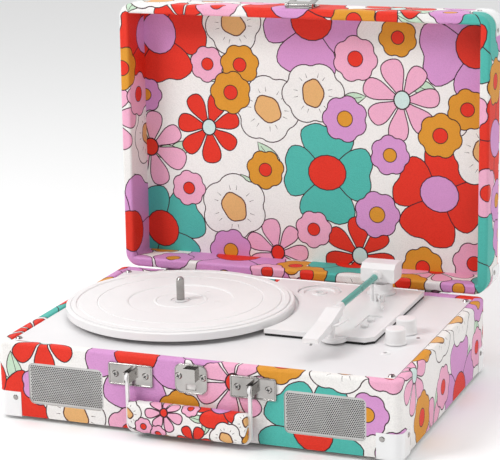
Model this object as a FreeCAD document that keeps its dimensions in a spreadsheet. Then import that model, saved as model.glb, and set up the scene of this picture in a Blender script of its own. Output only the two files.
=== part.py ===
import FreeCAD, Part
import math
import os
import re
import Sketcher

# Suitcase record player, millimetres, +Z up.  The origin is on the floor under the middle of the
# whole open player, X runs along the front from left to right and Y from front to back.
# "Case coordinates" below are measured from the middle of the case instead: place() adds the
# case's own offset in Y.  The lid is drawn shut and turned back about its hinge pins afterwards.

DIMENSIONS = {
    # case
    "case_width": 356, "case_depth": 252, "base_height": 64, "board": 9,
    "case_y": -18.32, "base_corner": 7, "edge_round": 2.5, "bottom_panel": 4,
    "foot_height": 4, "foot_radius": 7, "foot_left_x": 126, "foot_right_x": 147, "foot_y": 112,
    # lid
    "lid_height": 40, "lid_panel_thickness": 4, "lid_corner": 13, "lid_gap": 0.5, "lid_angle": 91,
    "hinge_back": 2.1, "hinge_drop": 3, "hinge_x": 128, "hinge_pin": 1, "hinge_knuckle": 2,
    # hardware
    "plate": 1.2, "cover": 0.8, "cover_size": 21, "rivet_inset": 16, "rivet_up": 16,
    "screw_head": 3.1, "screw_head_height": 1.3, "screw_shank": 1.4, "screw_length": 7,
    "rivet_head": 2.4, "rivet_head_height": 0.7, "rivet_shank": 1.1, "rivet_length": 5,
    "hole_slack": 0.1, "running_slack": 0.05,
    # speakers
    "grille_x": 114.5, "grille_z": 34, "grille_width": 69, "grille_height": 36, "grille_corner": 5,
    "grille_sheet": 0.8, "ledge": 2,
    # handle and latch
    "handle_x": 54, "bracket_width": 40, "bracket_height": 19, "bracket_z": 51,
    "leg_thickness": 2.4, "leg_depth": 3, "pivot_front": 7, "handle_bottom": 5, "grip_top": 32,
    "grip_depth": 13, "handle_lean": 0.7, "band_corner": 7, "neck": 8.5,
    "ear": 1.2, "ear_gap": 0.3, "handle_pin": 1.5, "latch_width": 28.5, "latch_height": 25,
    "hasp_width": 26, "hasp_length": 25, "hasp_sheet": 1.6, "hasp_tilt": 12,
    # deck and mechanism plate
    "deck_step": 1, "deck_thickness": 3, "plate_gap": 2.2, "plate_top": 73, "disc_thickness": 1.5,
    "plate_left": -10, "plate_right": 126.5, "plate_front": -40, "plate_back": 110,
    "plate_arc": 104, "disc_radius": 88, "well_radius": 84,
    # platter
    "platter_x": -64.5, "platter_y": 3, "platter_radius": 100.5, "mat_top": 79, "mat_radius": 96.5,
    "mat_thickness": 1.8, "web": 2.2, "drum_radius": 55, "pulley_radius": 5.5, "pulley_reach": 68,
    "spindle_radius": 3.55, "spindle_top": 99, "belt_gap": 0.3, "belt_thickness": 0.8,
    # tone arm
    "arm_x": 91.5, "arm_y": 94, "arm_z": 92.5, "tube_radius": 2.8, "tube_front": -24,
    "shell_width": 13, "shell_back": -37, "shell_front": -95, "stylus_y": -93, "stylus_z": 80.2,
    "shell_wall": 1.2, "shell_knee": -60, "knee_ceiling": 89.2, "nose_ceiling": 85,
    "rest_height": 13.5, "housing_width": 31, "housing_top": 102, "housing_bottom": 86,
    # controls
    "knob_x": 142.5, "volume_y": -27.5, "function_y": 2.7, "knob_radius": 9.25, "knob_height": 13.5,
    "shaft_radius": 3, "jack_y": -55.5, "jack_bore": 1.8, "led_x": 156, "led_y": -7.5,
    "adapter_x": 37, "adapter_y": 82, "adapter_radius": 19, "panel_x": 108.5, "panel_y": 5,
    "board_z": 50, "post_y": 67, "lever_x": 97.5, "lever_y": 68, "lever_z": 76.5,
    # back panel
    "jack_panel_x": 60, "jack_panel_z": 34, "jack_panel_width": 84, "jack_panel_height": 26,
}

document = FreeCAD.newDocument("SuitcaseRecordPlayer")
sheet = document.addObject("Spreadsheet::Sheet", "dim")
for row, (alias, size) in enumerate(DIMENSIONS.items(), start=1):
    sheet.set("A%d" % row, alias)
    sheet.set("B%d" % row, str(size))
    sheet.setAlias("B%d" % row, alias)
document.recompute()

# Heights and faces that many pieces share, as expressions over the sheet.
RIM = "(foot_height + base_height)"
DECK = "(%s - deck_step)" % RIM
DECK_UNDER = "(%s - deck_thickness)" % DECK
PLATE_UNDER = "(%s + plate_gap)" % DECK
DISC_TOP = "(%s + disc_thickness)" % PLATE_UNDER
LID_RIM = "(%s + lid_gap)" % RIM
LID_TOP = "(%s + lid_height)" % LID_RIM
LID_CEILING = "(%s - lid_panel_thickness)" % LID_TOP
FRONT = "(-case_depth/2)"
BACK = "(case_depth/2)"
HINGE_Y = "(case_depth/2 + hinge_back)"
HINGE_Z = "(%s - hinge_drop)" % RIM
PIVOT_Y = "(-case_depth/2 - pivot_front)"
FLOOR_IN = "(foot_height + bottom_panel)"

X_AXIS = FreeCAD.Vector(1, 0, 0)
Y_AXIS = FreeCAD.Vector(0, 1, 0)
Z_AXIS = FreeCAD.Vector(0, 0, 1)
TURNS = {
    "+Z": FreeCAD.Rotation(),
    "-Z": FreeCAD.Rotation(X_AXIS, 180),
    "+X": FreeCAD.Rotation(Y_AXIS, 90),
    "-X": FreeCAD.Rotation(Y_AXIS, -90),
    "+Y": FreeCAD.Rotation(X_AXIS, -90),
    "-Y": FreeCAD.Rotation(X_AXIS, 90),
}
SIDES = (("left", -1), ("right", 1))
CORNERS = [(i, j) for i in (-1, 1) for j in (-1, 1)]
sub_parts = []


def formula(text):
    """Expression text in which every dimension's name points at its cell."""
    return re.sub(r"[a-z_]+", lambda m: "dim." + m.group(0) if m.group(0) in DIMENSIONS else m.group(0),
                  str(text))


def value(text):
    """Present value of an expression, as a number."""
    return float(sheet.evalExpression(formula(text)))


def bind(item, path, text):
    item.setExpression(path, formula(text))


def place(item, x=0, y=0, z=0, turn="+Z"):
    """Put an item at a point in case coordinates, with its own Z along the turn's direction."""
    item.Placement = FreeCAD.Placement(FreeCAD.Vector(), TURNS[turn])
    bind(item, "Placement.Base.x", x)
    bind(item, "Placement.Base.y", "case_y + (%s)" % y)
    bind(item, "Placement.Base.z", z)
    return item


def keep(item, label, lid=False):
    """Name a finished sub-part; one of the lid's is turned back about the hinge pins."""
    item.Label = label
    if lid:
        item.Placement = FreeCAD.Placement(FreeCAD.Vector(), FreeCAD.Rotation(X_AXIS, -1))
        pin_y = "(case_y + %s)" % HINGE_Y
        bind(item, "Placement.Rotation.Angle", "-lid_angle")
        bind(item, "Placement.Base.y", "%s*(1 - cos(lid_angle)) - %s*sin(lid_angle)" % (pin_y, HINGE_Z))
        bind(item, "Placement.Base.z", "%s*(1 - cos(lid_angle)) + %s*sin(lid_angle)" % (HINGE_Z, pin_y))
    sub_parts.append(item)
    return item


# ---- Part primitives and booleans ---------------------------------------------------------------

def box(name, size, middle, bottom):
    """Box centred on a point in X and Y, standing on the height `bottom`."""
    item = document.addObject("Part::Box", name)
    for side, text in zip(("Length", "Width", "Height"), size):
        bind(item, side, text)
    return place(item, "%s - (%s)/2" % (middle[0], size[0]), "%s - (%s)/2" % (middle[1], size[1]), bottom)


def cylinder(name, radius, height, at, turn="+Z"):
    item = document.addObject("Part::Cylinder", name)
    bind(item, "Radius", radius)
    bind(item, "Height", height)
    return place(item, *at, turn=turn)


def cone(name, radius_one, radius_two, height, at, turn="+Z"):
    item = document.addObject("Part::Cone", name)
    bind(item, "Radius1", radius_one)
    bind(item, "Radius2", radius_two)
    bind(item, "Height", height)
    return place(item, *at, turn=turn)


def fuse(name, *items):
    item = document.addObject("Part::MultiFuse", name)
    item.Shapes = list(items)
    return item


def common(name, *items):
    item = document.addObject("Part::MultiCommon", name)
    item.Shapes = list(items)
    return item


def group(name, items):
    item = document.addObject("Part::Compound", name)
    item.Links = list(items)
    return item


def cut(name, base, *tools):
    item = document.addObject("Part::Cut", name)
    item.Base = base
    item.Tool = tools[0] if len(tools) == 1 else group(name + "_tools", tools)
    return item


# ---- PartDesign bodies --------------------------------------------------------------------------

def new_sketch(body, plane):
    sketch = body.newObject("Sketcher::SketchObject", body.Name + "_sketch")
    origin_plane = next(f for f in body.Origin.OriginFeatures if f.Role == plane)
    sketch.AttachmentSupport = [(origin_plane, "")]
    sketch.MapMode = "FlatFace"
    return sketch


def fix(sketch, kind, curve, point, text):
    """Hold one coordinate of a sketch point at an expression over the sheet."""
    if text in (0, "0"):
        axis = -2 if kind == "DistanceX" else -1
        sketch.addConstraint(Sketcher.Constraint("PointOnObject", curve, point, axis))
        return
    index = sketch.addConstraint(Sketcher.Constraint(kind, -1, 1, curve, point, value(text)))
    bind(sketch, "Constraints[%d]" % index, text)


def outline(sketch, points):
    """Closed outline of straight lines through the given corners."""
    corners = [FreeCAD.Vector(value(x), value(y), 0) for x, y in points]
    first = sketch.GeometryCount
    count = len(corners)
    for i in range(count):
        sketch.addGeometry(Part.LineSegment(corners[i], corners[(i + 1) % count]), False)
    for i in range(count):
        following = first + (i + 1) % count
        sketch.addConstraint(Sketcher.Constraint("Coincident", first + i, 2, following, 1))
    for i, (x, y) in enumerate(points):
        fix(sketch, "DistanceX", first + i, 1, x)
        fix(sketch, "DistanceY", first + i, 1, y)


def pad(name, points, length, plane="XY_Plane", midplane=False, round_edges=None):
    """Body with one pad of a straight-sided outline, its chosen edges rounded."""
    body = document.addObject("PartDesign::Body", name)
    sketch = new_sketch(body, plane)
    outline(sketch, points)
    feature = body.newObject("PartDesign::Pad", name + "_pad")
    feature.Profile = sketch
    feature.Midplane = midplane
    bind(feature, "Length", length)
    for number, (test, radius) in enumerate(round_edges or ()):
        document.recompute()
        edges = ["Edge%d" % (i + 1) for i, edge in enumerate(feature.Shape.Edges) if test(edge)]
        rounding = body.newObject("PartDesign::Fillet", "%s_round_%d" % (name, number))
        rounding.Base = (feature, edges)
        bind(rounding, "Radius", radius)
        body.Tip = rounding
        feature = rounding
    return body


def revolve(name, points):
    """Body turned about Z from a closed outline of (radius, height) corners."""
    body = document.addObject("PartDesign::Body", name)
    sketch = new_sketch(body, "XZ_Plane")
    outline(sketch, points)
    feature = body.newObject("PartDesign::Revolution", name + "_turned")
    feature.Profile = sketch
    feature.ReferenceAxis = (sketch, ["V_Axis"])
    feature.Angle = 360
    return body


def rectangle(width, depth):
    """Corners of a rectangle centred on the sketch's origin."""
    return [("-(%s)/2" % width, "-(%s)/2" % depth), ("(%s)/2" % width, "-(%s)/2" % depth),
            ("(%s)/2" % width, "(%s)/2" % depth), ("-(%s)/2" % width, "(%s)/2" % depth)]


def along(axis):
    """Test for straight edges that run along an axis."""
    def test(edge):
        return len(edge.Vertexes) == 2 and abs(abs(edge.tangentAt(edge.FirstParameter).dot(axis)) - 1) < 1e-6
    return test


def at_height(height):
    """Test for edges that lie flat at a height of the body's own frame."""
    def test(edge):
        level = value(height)
        return edge.BoundBox.ZLength < 1e-6 and abs(edge.BoundBox.ZMin - level) < 1e-6
    return test


def slab(name, width, depth, corner, thickness, at, turn="+Z", extra=()):
    """Sheet with rounded corners, its bottom face centred on a point."""
    rounding = [(along(Z_AXIS), corner)] + list(extra)
    return place(pad(name, rectangle(width, depth), thickness, round_edges=rounding), *at, turn=turn)


# ---- fasteners ----------------------------------------------------------------------------------

OPPOSITE = {"+Z": "-Z", "-Y": "+Y", "+Y": "-Y", "+X": "-X", "-X": "+X"}
STEP = {"+Z": (0, 0, 1), "-Y": (0, -1, 0), "+Y": (0, 1, 0), "+X": (1, 0, 0), "-X": (-1, 0, 0)}


def fastener(name, kind, at, turn):
    """Screw or rivet: a tapered head standing on the point `at`, and a shank going in."""
    head = cone(name + "_head", kind + "_head", kind + "_head*0.72", kind + "_head_height", at, turn)
    shank = cylinder(name + "_shank", kind + "_shank", kind + "_length", at, OPPOSITE[turn])
    return fuse(name, head, shank)


def hole(name, kind, at, turn):
    """Clearance hole for a fastener, starting 2 mm outside its seat."""
    start = ["%s + %d" % (a, 2 * s) for a, s in zip(at, STEP[turn])]
    length = "%s_length + 2.5" % kind
    return cylinder(name, kind + "_shank + hole_slack", length, start, OPPOSITE[turn])


def fasteners(prefix, kind, spots, turn):
    """Fasteners at several spots with the holes they need."""
    made = [fastener("%s_%d" % (prefix, i), kind, at, turn) for i, at in enumerate(spots)]
    holes = [hole("%s_hole_%d" % (prefix, i), kind, at, turn) for i, at in enumerate(spots)]
    return made, holes


deck_spots = [("%d*165" % i, "%d*110" % j, DECK) for i, j in CORNERS]
bracket_spots = [("%d*handle_x + %d*13.5" % (i, j), FRONT + " - plate", "bracket_z") for i, j in CORNERS]
latch_spots = [("%d*10.7" % i, FRONT + " - plate", "55") for i in (-1, 1)]
hinge_spots = [("%d*hinge_x + %d*9" % (i, j), BACK + " + plate", "50") for i, j in CORNERS]
panel_spots = [("jack_panel_x + %d*(jack_panel_width/2 + 5)" % i, BACK + " + plate", "jack_panel_z")
               for i in (-1, 1)]


def rivet_spots(side, height):
    """Two rivets a side: one near each end of the wall, on the corner covers."""
    if side in ("-Y", "+Y"):
        y = "%d*(case_depth/2 + cover)" % STEP[side][1]
        return [("%d*(case_width/2 - rivet_inset)" % i, y, height) for i in (-1, 1)]
    x = "%d*(case_width/2 + cover)" % STEP[side][0]
    return [(x, "%d*(case_depth/2 - rivet_inset)" % j, height) for j in (-1, 1)]


base_fasteners = []
base_holes = {"+Z": [], "-Y": [], "+Y": [], "+X": [], "-X": []}
lid_fasteners = []
lid_holes = []


def fasten(prefix, kind, spots, turn):
    made, holes = fasteners(prefix, kind, spots, turn)
    base_fasteners.extend(made)
    base_holes[turn].extend(holes)
    return holes


deck_screw_holes = fasten("deck_screw", "screw", deck_spots, "+Z")
bracket_holes = fasten("bracket_screw", "screw", bracket_spots, "-Y")
latch_holes = fasten("latch_screw", "screw", latch_spots, "-Y")
hinge_holes = fasten("hinge_screw", "screw", hinge_spots, "+Y")
panel_holes = fasten("panel_screw", "screw", panel_spots, "+Y")
rivet_holes = []
for label, side in (("front", "-Y"), ("back", "+Y"), ("left", "-X"), ("right", "+X")):
    spots = rivet_spots(side, "foot_height + rivet_up")
    rivet_holes += fasten("%s_rivet" % label, "rivet", spots, side)


# ---- the case's walls ---------------------------------------------------------------------------

def wall_ring(name, height, corner, at, rim_top):
    """Four walls in one ring with rounded outer corners; its open rim is softened."""
    level = height if rim_top else "0"
    outer = slab(name + "_outer", "case_width", "case_depth", corner, height, at)
    inner = box(name + "_inner", ("case_width - 2*board", "case_depth - 2*board", height + " + 2"),
                ("0", "0"), "%s - 1" % at[2])
    ring = cut(name, outer, inner)
    softened = document.addObject("Part::Fillet", name + "_soft")
    softened.Base = ring
    document.recompute()
    rim = value(at[2]) + value(level)
    radius = value("edge_round")
    softened.Edges = [(i + 1, radius, radius) for i, edge in enumerate(ring.Shape.Edges)
                      if edge.BoundBox.ZLength < 1e-6 and abs(edge.BoundBox.ZMin - rim) < 1e-6]
    return softened


def mitre_wedge(name, run, reach, turn_degrees, bottom, height):
    """Prism that keeps one wall of a ring, cut at 45 degrees at both corners."""
    corners = [("-(%s)/2 - 1" % run, "-(%s)/2 - 1" % reach), ("(%s)/2 + 1" % run, "-(%s)/2 - 1" % reach),
               ("(%s)/2 - 2*board" % run, "-(%s)/2 + 2*board" % reach),
               ("-(%s)/2 + 2*board" % run, "-(%s)/2 + 2*board" % reach)]
    wedge = place(pad(name, corners, height + " + 2"), 0, 0, "%s - 1" % bottom)
    wedge.Placement.Rotation = FreeCAD.Rotation(Z_AXIS, turn_degrees)
    return wedge


base_ring = wall_ring("base_ring", "base_height", "base_corner", ("0", "0", "foot_height"), True)
WALLS = {
    "front": ("case_width", "case_depth", 0, "-Y"), "right": ("case_depth", "case_width", 90, "+X"),
    "back": ("case_width", "case_depth", 180, "+Y"), "left": ("case_depth", "case_width", 270, "-X"),
}
grille_seats = []
for side, sign in SIDES:
    seat_at = ("%d*grille_x" % sign, FRONT + " + 1.5", "grille_z")
    window_at = ("%d*grille_x" % sign, FRONT + " + board + 1", "grille_z")
    seat = slab("grille_seat_" + side, "grille_width", "grille_height", "grille_corner", "4", seat_at, "-Y")
    window = slab("window_" + side, "grille_width - 2*ledge", "grille_height - 2*ledge",
                  "grille_corner - ledge", "board + 2", window_at, "-Y")
    grille_seats += [seat, window]
jack_window = box("jack_window", ("jack_panel_width - 6", "board + 4", "jack_panel_height - 6"),
                  ("jack_panel_x", BACK + " - board/2"), "jack_panel_z - jack_panel_height/2 + 3")
wall_cuts = {"front": grille_seats, "back": [jack_window], "left": [], "right": []}
for wall, (run, reach, degrees, turn) in WALLS.items():
    wedge = mitre_wedge("wedge_" + wall, run, reach, degrees, "foot_height", "base_height")
    blank = common("wall_blank_" + wall, base_ring, wedge)
    keep(cut("wall_" + wall, blank, *(wall_cuts[wall] + base_holes[turn])), "base_%s_board" % wall)

bottom = box("bottom_panel_blank", ("case_width - 2*board", "case_depth - 2*board", "bottom_panel"),
             ("0", "0"), "foot_height")
keep(bottom, "base_bottom_panel")

block = "16"
blocks = [box("corner_block_%d" % n, (block, block, "%s - %s" % (DECK_UNDER, FLOOR_IN)),
              ("%d*(case_width/2 - board - 8)" % i, "%d*(case_depth/2 - board - 8)" % j), FLOOR_IN)
          for n, (i, j) in enumerate(CORNERS)]
keep(cut("corner_blocks_drilled", group("corner_blocks_set", blocks), *deck_screw_holes), "corner_blocks")

feet = []
for name, x in (("left", "-foot_left_x"), ("right", "foot_right_x")):
    for where, sign in (("front", -1), ("back", 1)):
        foot_at = (x, "%d*foot_y" % sign, "0")
        feet.append(cone("foot_%s_%s" % (where, name), "foot_radius - 1", "foot_radius", "foot_height",
                         foot_at))
keep(group("feet_set", feet), "feet")


def corner_covers(name, corner, wall_bottom, wall_height, outer_bottom, covers_z, holes):
    """Thin L-shaped covers over the four corners of a box, closed over its flat face."""
    outside = slab(name + "_outside", "case_width + 2*cover", "case_depth + 2*cover", corner + " + cover",
                   wall_height + " + cover", ("0", "0", outer_bottom))
    inside = slab(name + "_inside", "case_width", "case_depth", corner, wall_height,
                  ("0", "0", wall_bottom))
    shell = cut(name + "_shell", outside, inside)
    size = ("2*cover_size", "2*cover_size", "cover_size + cover")
    zones = [box("%s_zone_%d" % (name, n), size, ("%d*case_width/2" % i, "%d*case_depth/2" % j), covers_z)
             for n, (i, j) in enumerate(CORNERS)]
    return cut(name, common(name + "_corners", shell, group(name + "_zones", zones)), *holes)


covers = corner_covers("base_covers", "base_corner", "foot_height", "base_height",
                       "foot_height - cover", "foot_height - cover", rivet_holes)
keep(covers, "base_corner_protectors")

# ---- deck and everything that hangs under it ----------------------------------------------------

SPINDLE = ("platter_x", "platter_y")
deck_blank = box("deck_blank", ("case_width - 2*board - 1", "case_depth - 2*board - 1", "deck_thickness"),
                 ("0", "0"), DECK_UNDER)
platter_well = cylinder("platter_well", "well_radius", "10", SPINDLE + (DECK_UNDER + " - 3",))
arm_well = box("arm_well", ("44", "46", "10"), ("88", "80"), DECK_UNDER + " - 3")
knob_holes = [cylinder("knob_hole_" + n, "shaft_radius + 0.9", "10", ("knob_x", y, DECK_UNDER + " - 3"))
              for n, y in (("volume", "volume_y"), ("function", "function_y"))]
jack_hole = cylinder("jack_hole", "3.1", "10", ("knob_x", "jack_y", DECK_UNDER + " - 3"))
led_hole = cylinder("led_hole", "1.6", "10", ("led_x", "led_y", DECK_UNDER + " - 3"))
keep(cut("deck", deck_blank, platter_well, arm_well, jack_hole, led_hole, *(knob_holes + deck_screw_holes)),
     "deck_board")

raised = pad("raised_plate", [("plate_left", "plate_front"), ("plate_right - 7", "plate_front"),
                              ("plate_right", "plate_front + 7"), ("plate_right", "plate_back"),
                              ("plate_left", "plate_back")], "plate_top - %s" % PLATE_UNDER)
place(raised, 0, 0, PLATE_UNDER)
arc = cylinder("plate_arc_cut", "plate_arc", "10", SPINDLE + (PLATE_UNDER + " - 1",))
disc = cylinder("plate_disc", "disc_radius", "disc_thickness", SPINDLE + (PLATE_UNDER,))
bridge = common("plate_bridge",
                box("plate_bridge_box", ("110", "100", "disc_thickness"),
                    ("platter_x + 60", "platter_y + 20"),
                    PLATE_UNDER),
                cylinder("plate_bridge_disc", "plate_arc + 0.5", "disc_thickness",
                         SPINDLE + (PLATE_UNDER,)))
boss = cylinder("rest_boss", "11", "plate_top - %s - 0.6" % PLATE_UNDER,
                ("arm_x + 1.5", "plate_front", PLATE_UNDER))
lever_cheeks = [box("lever_cheek_%d" % n, ("2", "5", "lever_z + 3.5 - plate_top"),
                    ("lever_x + %g" % dx, "lever_y"), "plate_top - 1") for n, dx in enumerate((-2.6, 3.8))]
lever_pin = cylinder("lever_pin", "0.9", "8.4", ("lever_x - 3.6", "lever_y", "lever_z"), "+X")
plate_blank = fuse("plate_blank", cut("raised_part", raised, arc), disc, bridge, boss, lever_pin,
                   *lever_cheeks)
PULLEY = ("platter_x - pulley_reach*cos(45)", "platter_y + pulley_reach*sin(45)")
adapter_seat = cylinder("adapter_seat", "adapter_radius + 0.8", "6",
                        ("adapter_x", "adapter_y", PLATE_UNDER + " + 0.8"))
spindle_hole = cylinder("spindle_hole", "spindle_radius + hole_slack", "10",
                        SPINDLE + (PLATE_UNDER + " - 3",))
pulley_hole = cylinder("pulley_hole", "4", "10", PULLEY + (PLATE_UNDER + " - 3",))
turret_bore = cylinder("turret_bore", "5 + running_slack", "10", ("arm_x", "arm_y", PLATE_UNDER + " - 3"))
post_bore = cylinder("post_bore", "1.5 + running_slack", "10", ("arm_x", "post_y", PLATE_UNDER + " - 3"))
switch_recess = box("switch_recess", ("13", "38", "3"), ("panel_x", "panel_y"), "plate_top - 1")
switch_slots = [box("switch_slot_%d" % n, ("2.6", "13", "8"), ("panel_x", "panel_y + %d*9" % s),
                    PLATE_UNDER + " - 1") for n, s in enumerate((-1, 1))]
plate = cut("mechanism", plate_blank, adapter_seat, spindle_hole, pulley_hole, turret_bore, post_bore,
            switch_recess, *switch_slots)
keep(plate, "mechanism_plate")

mount_spots = [("plate_right - 8", "plate_front + 12"), ("plate_right - 8", "plate_back - 12"),
               ("48", "plate_front + 8"), ("2", "plate_back - 10")]
mounts = [cylinder("plate_mount_%d" % n, "5", "plate_gap", (x, y, DECK))
          for n, (x, y) in enumerate(mount_spots)]
keep(group("plate_mounts_set", mounts), "plate_mounts")

WEB_TOP = "(mat_top - mat_thickness)"
CLIP = "(%s + 0.3)" % WEB_TOP
spindle_post = revolve("spindle_post", [
    ("0", PLATE_UNDER + " - 8"), ("spindle_radius", PLATE_UNDER + " - 8"),
    ("spindle_radius", PLATE_UNDER + " - 3"),
    ("9", PLATE_UNDER + " - 3"), ("9", PLATE_UNDER), ("spindle_radius", PLATE_UNDER),
    ("spindle_radius", CLIP + " - 0.05"), ("spindle_radius - 0.8", CLIP + " - 0.05"),
    ("spindle_radius - 0.8", CLIP + " + 1.05"), ("spindle_radius", CLIP + " + 1.05"),
    ("spindle_radius", "spindle_top - 2"), ("spindle_radius - 1.6", "spindle_top"), ("0", "spindle_top")])
keep(place(spindle_post, *SPINDLE), "spindle")
clip = cut("clip_ring", cylinder("clip_disc", "6.2", "1", SPINDLE + (CLIP,)),
           cylinder("clip_bore", "spindle_radius - 0.75", "3", SPINDLE + (CLIP + " - 1",)))
keep(clip, "spindle_clip")

motor_can = revolve("motor_can", [
    ("1.05", PLATE_UNDER + " - 10"), ("1.05", PLATE_UNDER), ("9", PLATE_UNDER),
    ("9", PLATE_UNDER + " - 1.5"),
    ("14", PLATE_UNDER + " - 3"), ("14", "44"), ("5", "44"), ("5", "42"), ("0", "42"),
    ("0", PLATE_UNDER + " - 10")])
keep(place(motor_can, *PULLEY), "motor")


def belt_loop(inset):
    """Face inside the loop that runs at a distance outside the drum and the pulley."""
    big = value("drum_radius + belt_gap") + inset
    small = value("pulley_radius + belt_gap") + inset
    reach = value("pulley_reach")
    lean = math.acos((big - small) / reach)
    centre = FreeCAD.Vector(reach, 0, 0)

    def rim_point(middle, radius, angle):
        return middle + FreeCAD.Vector(radius * math.cos(angle), radius * math.sin(angle), 0)

    origin = FreeCAD.Vector()
    tops = [rim_point(origin, big, lean), rim_point(centre, small, lean)]
    lows = [rim_point(origin, big, -lean), rim_point(centre, small, -lean)]
    edges = [Part.makeLine(tops[0], tops[1]),
             Part.Arc(tops[1], rim_point(centre, small, 0), lows[1]).toShape(),
             Part.makeLine(lows[1], lows[0]),
             Part.Arc(lows[0], rim_point(origin, big, math.pi), tops[0]).toShape()]
    return Part.Face(Part.Wire(edges))


belt = document.addObject("Part::Feature", "belt")
belt.Shape = belt_loop(value("belt_thickness")).cut(belt_loop(0)).extrude(FreeCAD.Vector(0, 0, 2.6))
place(belt, *SPINDLE, z=DISC_TOP + " + 1.1")
belt.Placement.Rotation = FreeCAD.Rotation(Z_AXIS, 135)
keep(belt, "drive_belt")

pcb = box("pcb", ("50", "116", "1.6"), ("138", "-10"), "board_z")
heat_sink = box("heat_sink", ("14", "22", "11"), ("124", "34"), "board_z + 1.6")
capacitors = [cylinder("capacitor_%d" % n, "4", "10", ("%d" % x, "30", "board_z + 1.6"))
              for n, x in enumerate((140, 152))]
keep(fuse("amplifier", pcb, heat_sink, *capacitors), "amplifier_board")
pots = []
for name, y in (("volume", "volume_y"), ("function", "function_y")):
    pot = fuse("pot_%s_solid" % name, cylinder("pot_can_" + name, "8", "8", ("knob_x", y, "board_z + 1.6")),
               cylinder("pot_bush_" + name, "shaft_radius + 0.8", "%s - board_z - 9.6" % DECK,
                        ("knob_x", y, "board_z + 9.6")))
    pots.append(cut("pot_" + name, pot, cylinder("pot_bore_" + name, "shaft_radius + running_slack", "16",
                                                 ("knob_x", y, "board_z + 3.6"))))
keep(group("control_pots_set", pots), "control_pots")
for name, y in (("volume", "volume_y"), ("function", "function_y")):
    knob = revolve(name + "_knob_turned", [
        ("0", "board_z + 4"), ("shaft_radius", "board_z + 4"), ("shaft_radius", DECK + " + 0.5"),
        ("knob_radius", DECK + " + 0.5"), ("knob_radius", DECK + " + 1.6"),
        ("knob_radius - 0.5", DECK + " + 2"),
        ("knob_radius - 0.9", DECK + " + knob_height - 0.8"),
        ("knob_radius - 1.7", DECK + " + knob_height"),
        ("0", DECK + " + knob_height")])
    keep(place(knob, "knob_x", y), name + "_knob")
led = revolve("led_turned", [("0", DECK + " - 5"), ("1.5", DECK + " - 5"), ("1.5", DECK + " + 0.3"),
                             ("0.9", DECK + " + 0.6"), ("0", DECK + " + 0.6")])
keep(place(led, "led_x", "led_y"), "power_led")
jack = revolve("jack_turned", [
    ("jack_bore", DECK + " - 12"), ("jack_bore", DECK + " + 0.6"), ("4.2", DECK + " + 0.6"), ("4.5", DECK),
    ("3", DECK), ("3", DECK + " - 13"), ("0", DECK + " - 13"), ("0", DECK + " - 12")])
keep(place(jack, "knob_x", "jack_y"), "headphone_jack")

for side, sign in SIDES:
    grille = slab("mesh_" + side, "grille_width - 0.4", "grille_height - 0.4", "grille_corner - 0.2",
                  "grille_sheet",
                  ("%d*grille_x" % sign, FRONT + " + 1.5", "grille_z"), "-Y")
    keep(grille, "speaker_grille_" + side)
speakers, speaker_cones = [], []
for side, sign in SIDES:
    frame = revolve("basket_" + side, [
        ("19", "0"), ("25", "0"), ("25", "1.5"), ("21", "1.5"), ("13", "14"), ("13", "26"),
        ("0", "26"), ("0", "15"),
        ("11", "15"), ("18.5", "2.5")])
    speakers.append(place(frame, "%d*grille_x" % sign, FRONT + " + board", "grille_z", turn="+Y"))
    paper = revolve("paper_" + side, [
        ("0", "12.3"), ("9", "13"), ("17.6", "2.2"), ("18.6", "1.6"), ("18.6", "0.6"),
        ("17", "0.8"), ("8", "11.5"),
        ("5", "10"), ("0", "9.2")])
    speaker_cones.append(place(paper, "%d*grille_x" % sign, FRONT + " + board", "grille_z", turn="+Y"))
keep(group("speakers_set", speakers), "speakers")
keep(group("speaker_cones_set", speaker_cones), "speaker_cones")

# ---- back panel with its sockets ----------------------------------------------------------------

SOCKET_Y = "(%s + plate)" % BACK
socket_panel = slab("socket_panel", "jack_panel_width + 16", "jack_panel_height", "3", "plate",
                    ("jack_panel_x", BACK, "jack_panel_z"), "+Y")
SOCKETS = (("rca_one", -30, 4.6), ("rca_two", -14, 4.6), ("aux", 6, 3.2), ("dc", 26, 4.2))
socket_holes = [cylinder("socket_hole_" + n, str(r + 0.1), "8",
                         ("jack_panel_x + %d" % x, BACK + " - 3", "jack_panel_z"), "+Y")
                for n, x, r in SOCKETS]
keep(cut("socket_plate", socket_panel, *(socket_holes + panel_holes)), "rear_socket_panel")
sockets = []
for name, x, radius in SOCKETS:
    if name.startswith("rca"):
        shape = [("1.6", "-8"), ("1.6", "9"), ("4.15", "9"), ("4.15", "0.8"), ("6", "0.8"), ("6", "0"),
                 ("4.6", "0"), ("4.6", "-8")]
    else:
        bore = "jack_bore" if name == "aux" else "2.9"
        shape = [(bore, "-12"), (bore, "0.8"), ("%g" % (radius + 1.4), "0.8"), ("%g" % (radius + 1.4), "0"),
                 ("%g" % radius, "0"), ("%g" % radius, "-13"), ("0", "-13"), ("0", "-12")]
    socket = revolve("socket_" + name, shape)
    sockets.append(place(socket, "jack_panel_x + %d" % x, SOCKET_Y, "jack_panel_z", turn="+Y"))
keep(group("rear_sockets_set", sockets), "rear_sockets")

# ---- latch plate, handle and its brackets -------------------------------------------------------

latch_sheet = slab("latch_sheet", "latch_width", "latch_height", "6", "plate", ("0", FRONT, "53"), "-Y")
latch_slot = box("latch_slot", ("9", "6", "5"), ("0", FRONT), "43.5")
tongue = slab("latch_tongue", "11", "11.5", "1", "plate + 4.6", ("0", FRONT, "57"), "-Y")
keep(cut("latch", fuse("latch_solid", latch_sheet, tongue), latch_slot, *latch_holes), "latch_plate")

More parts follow.
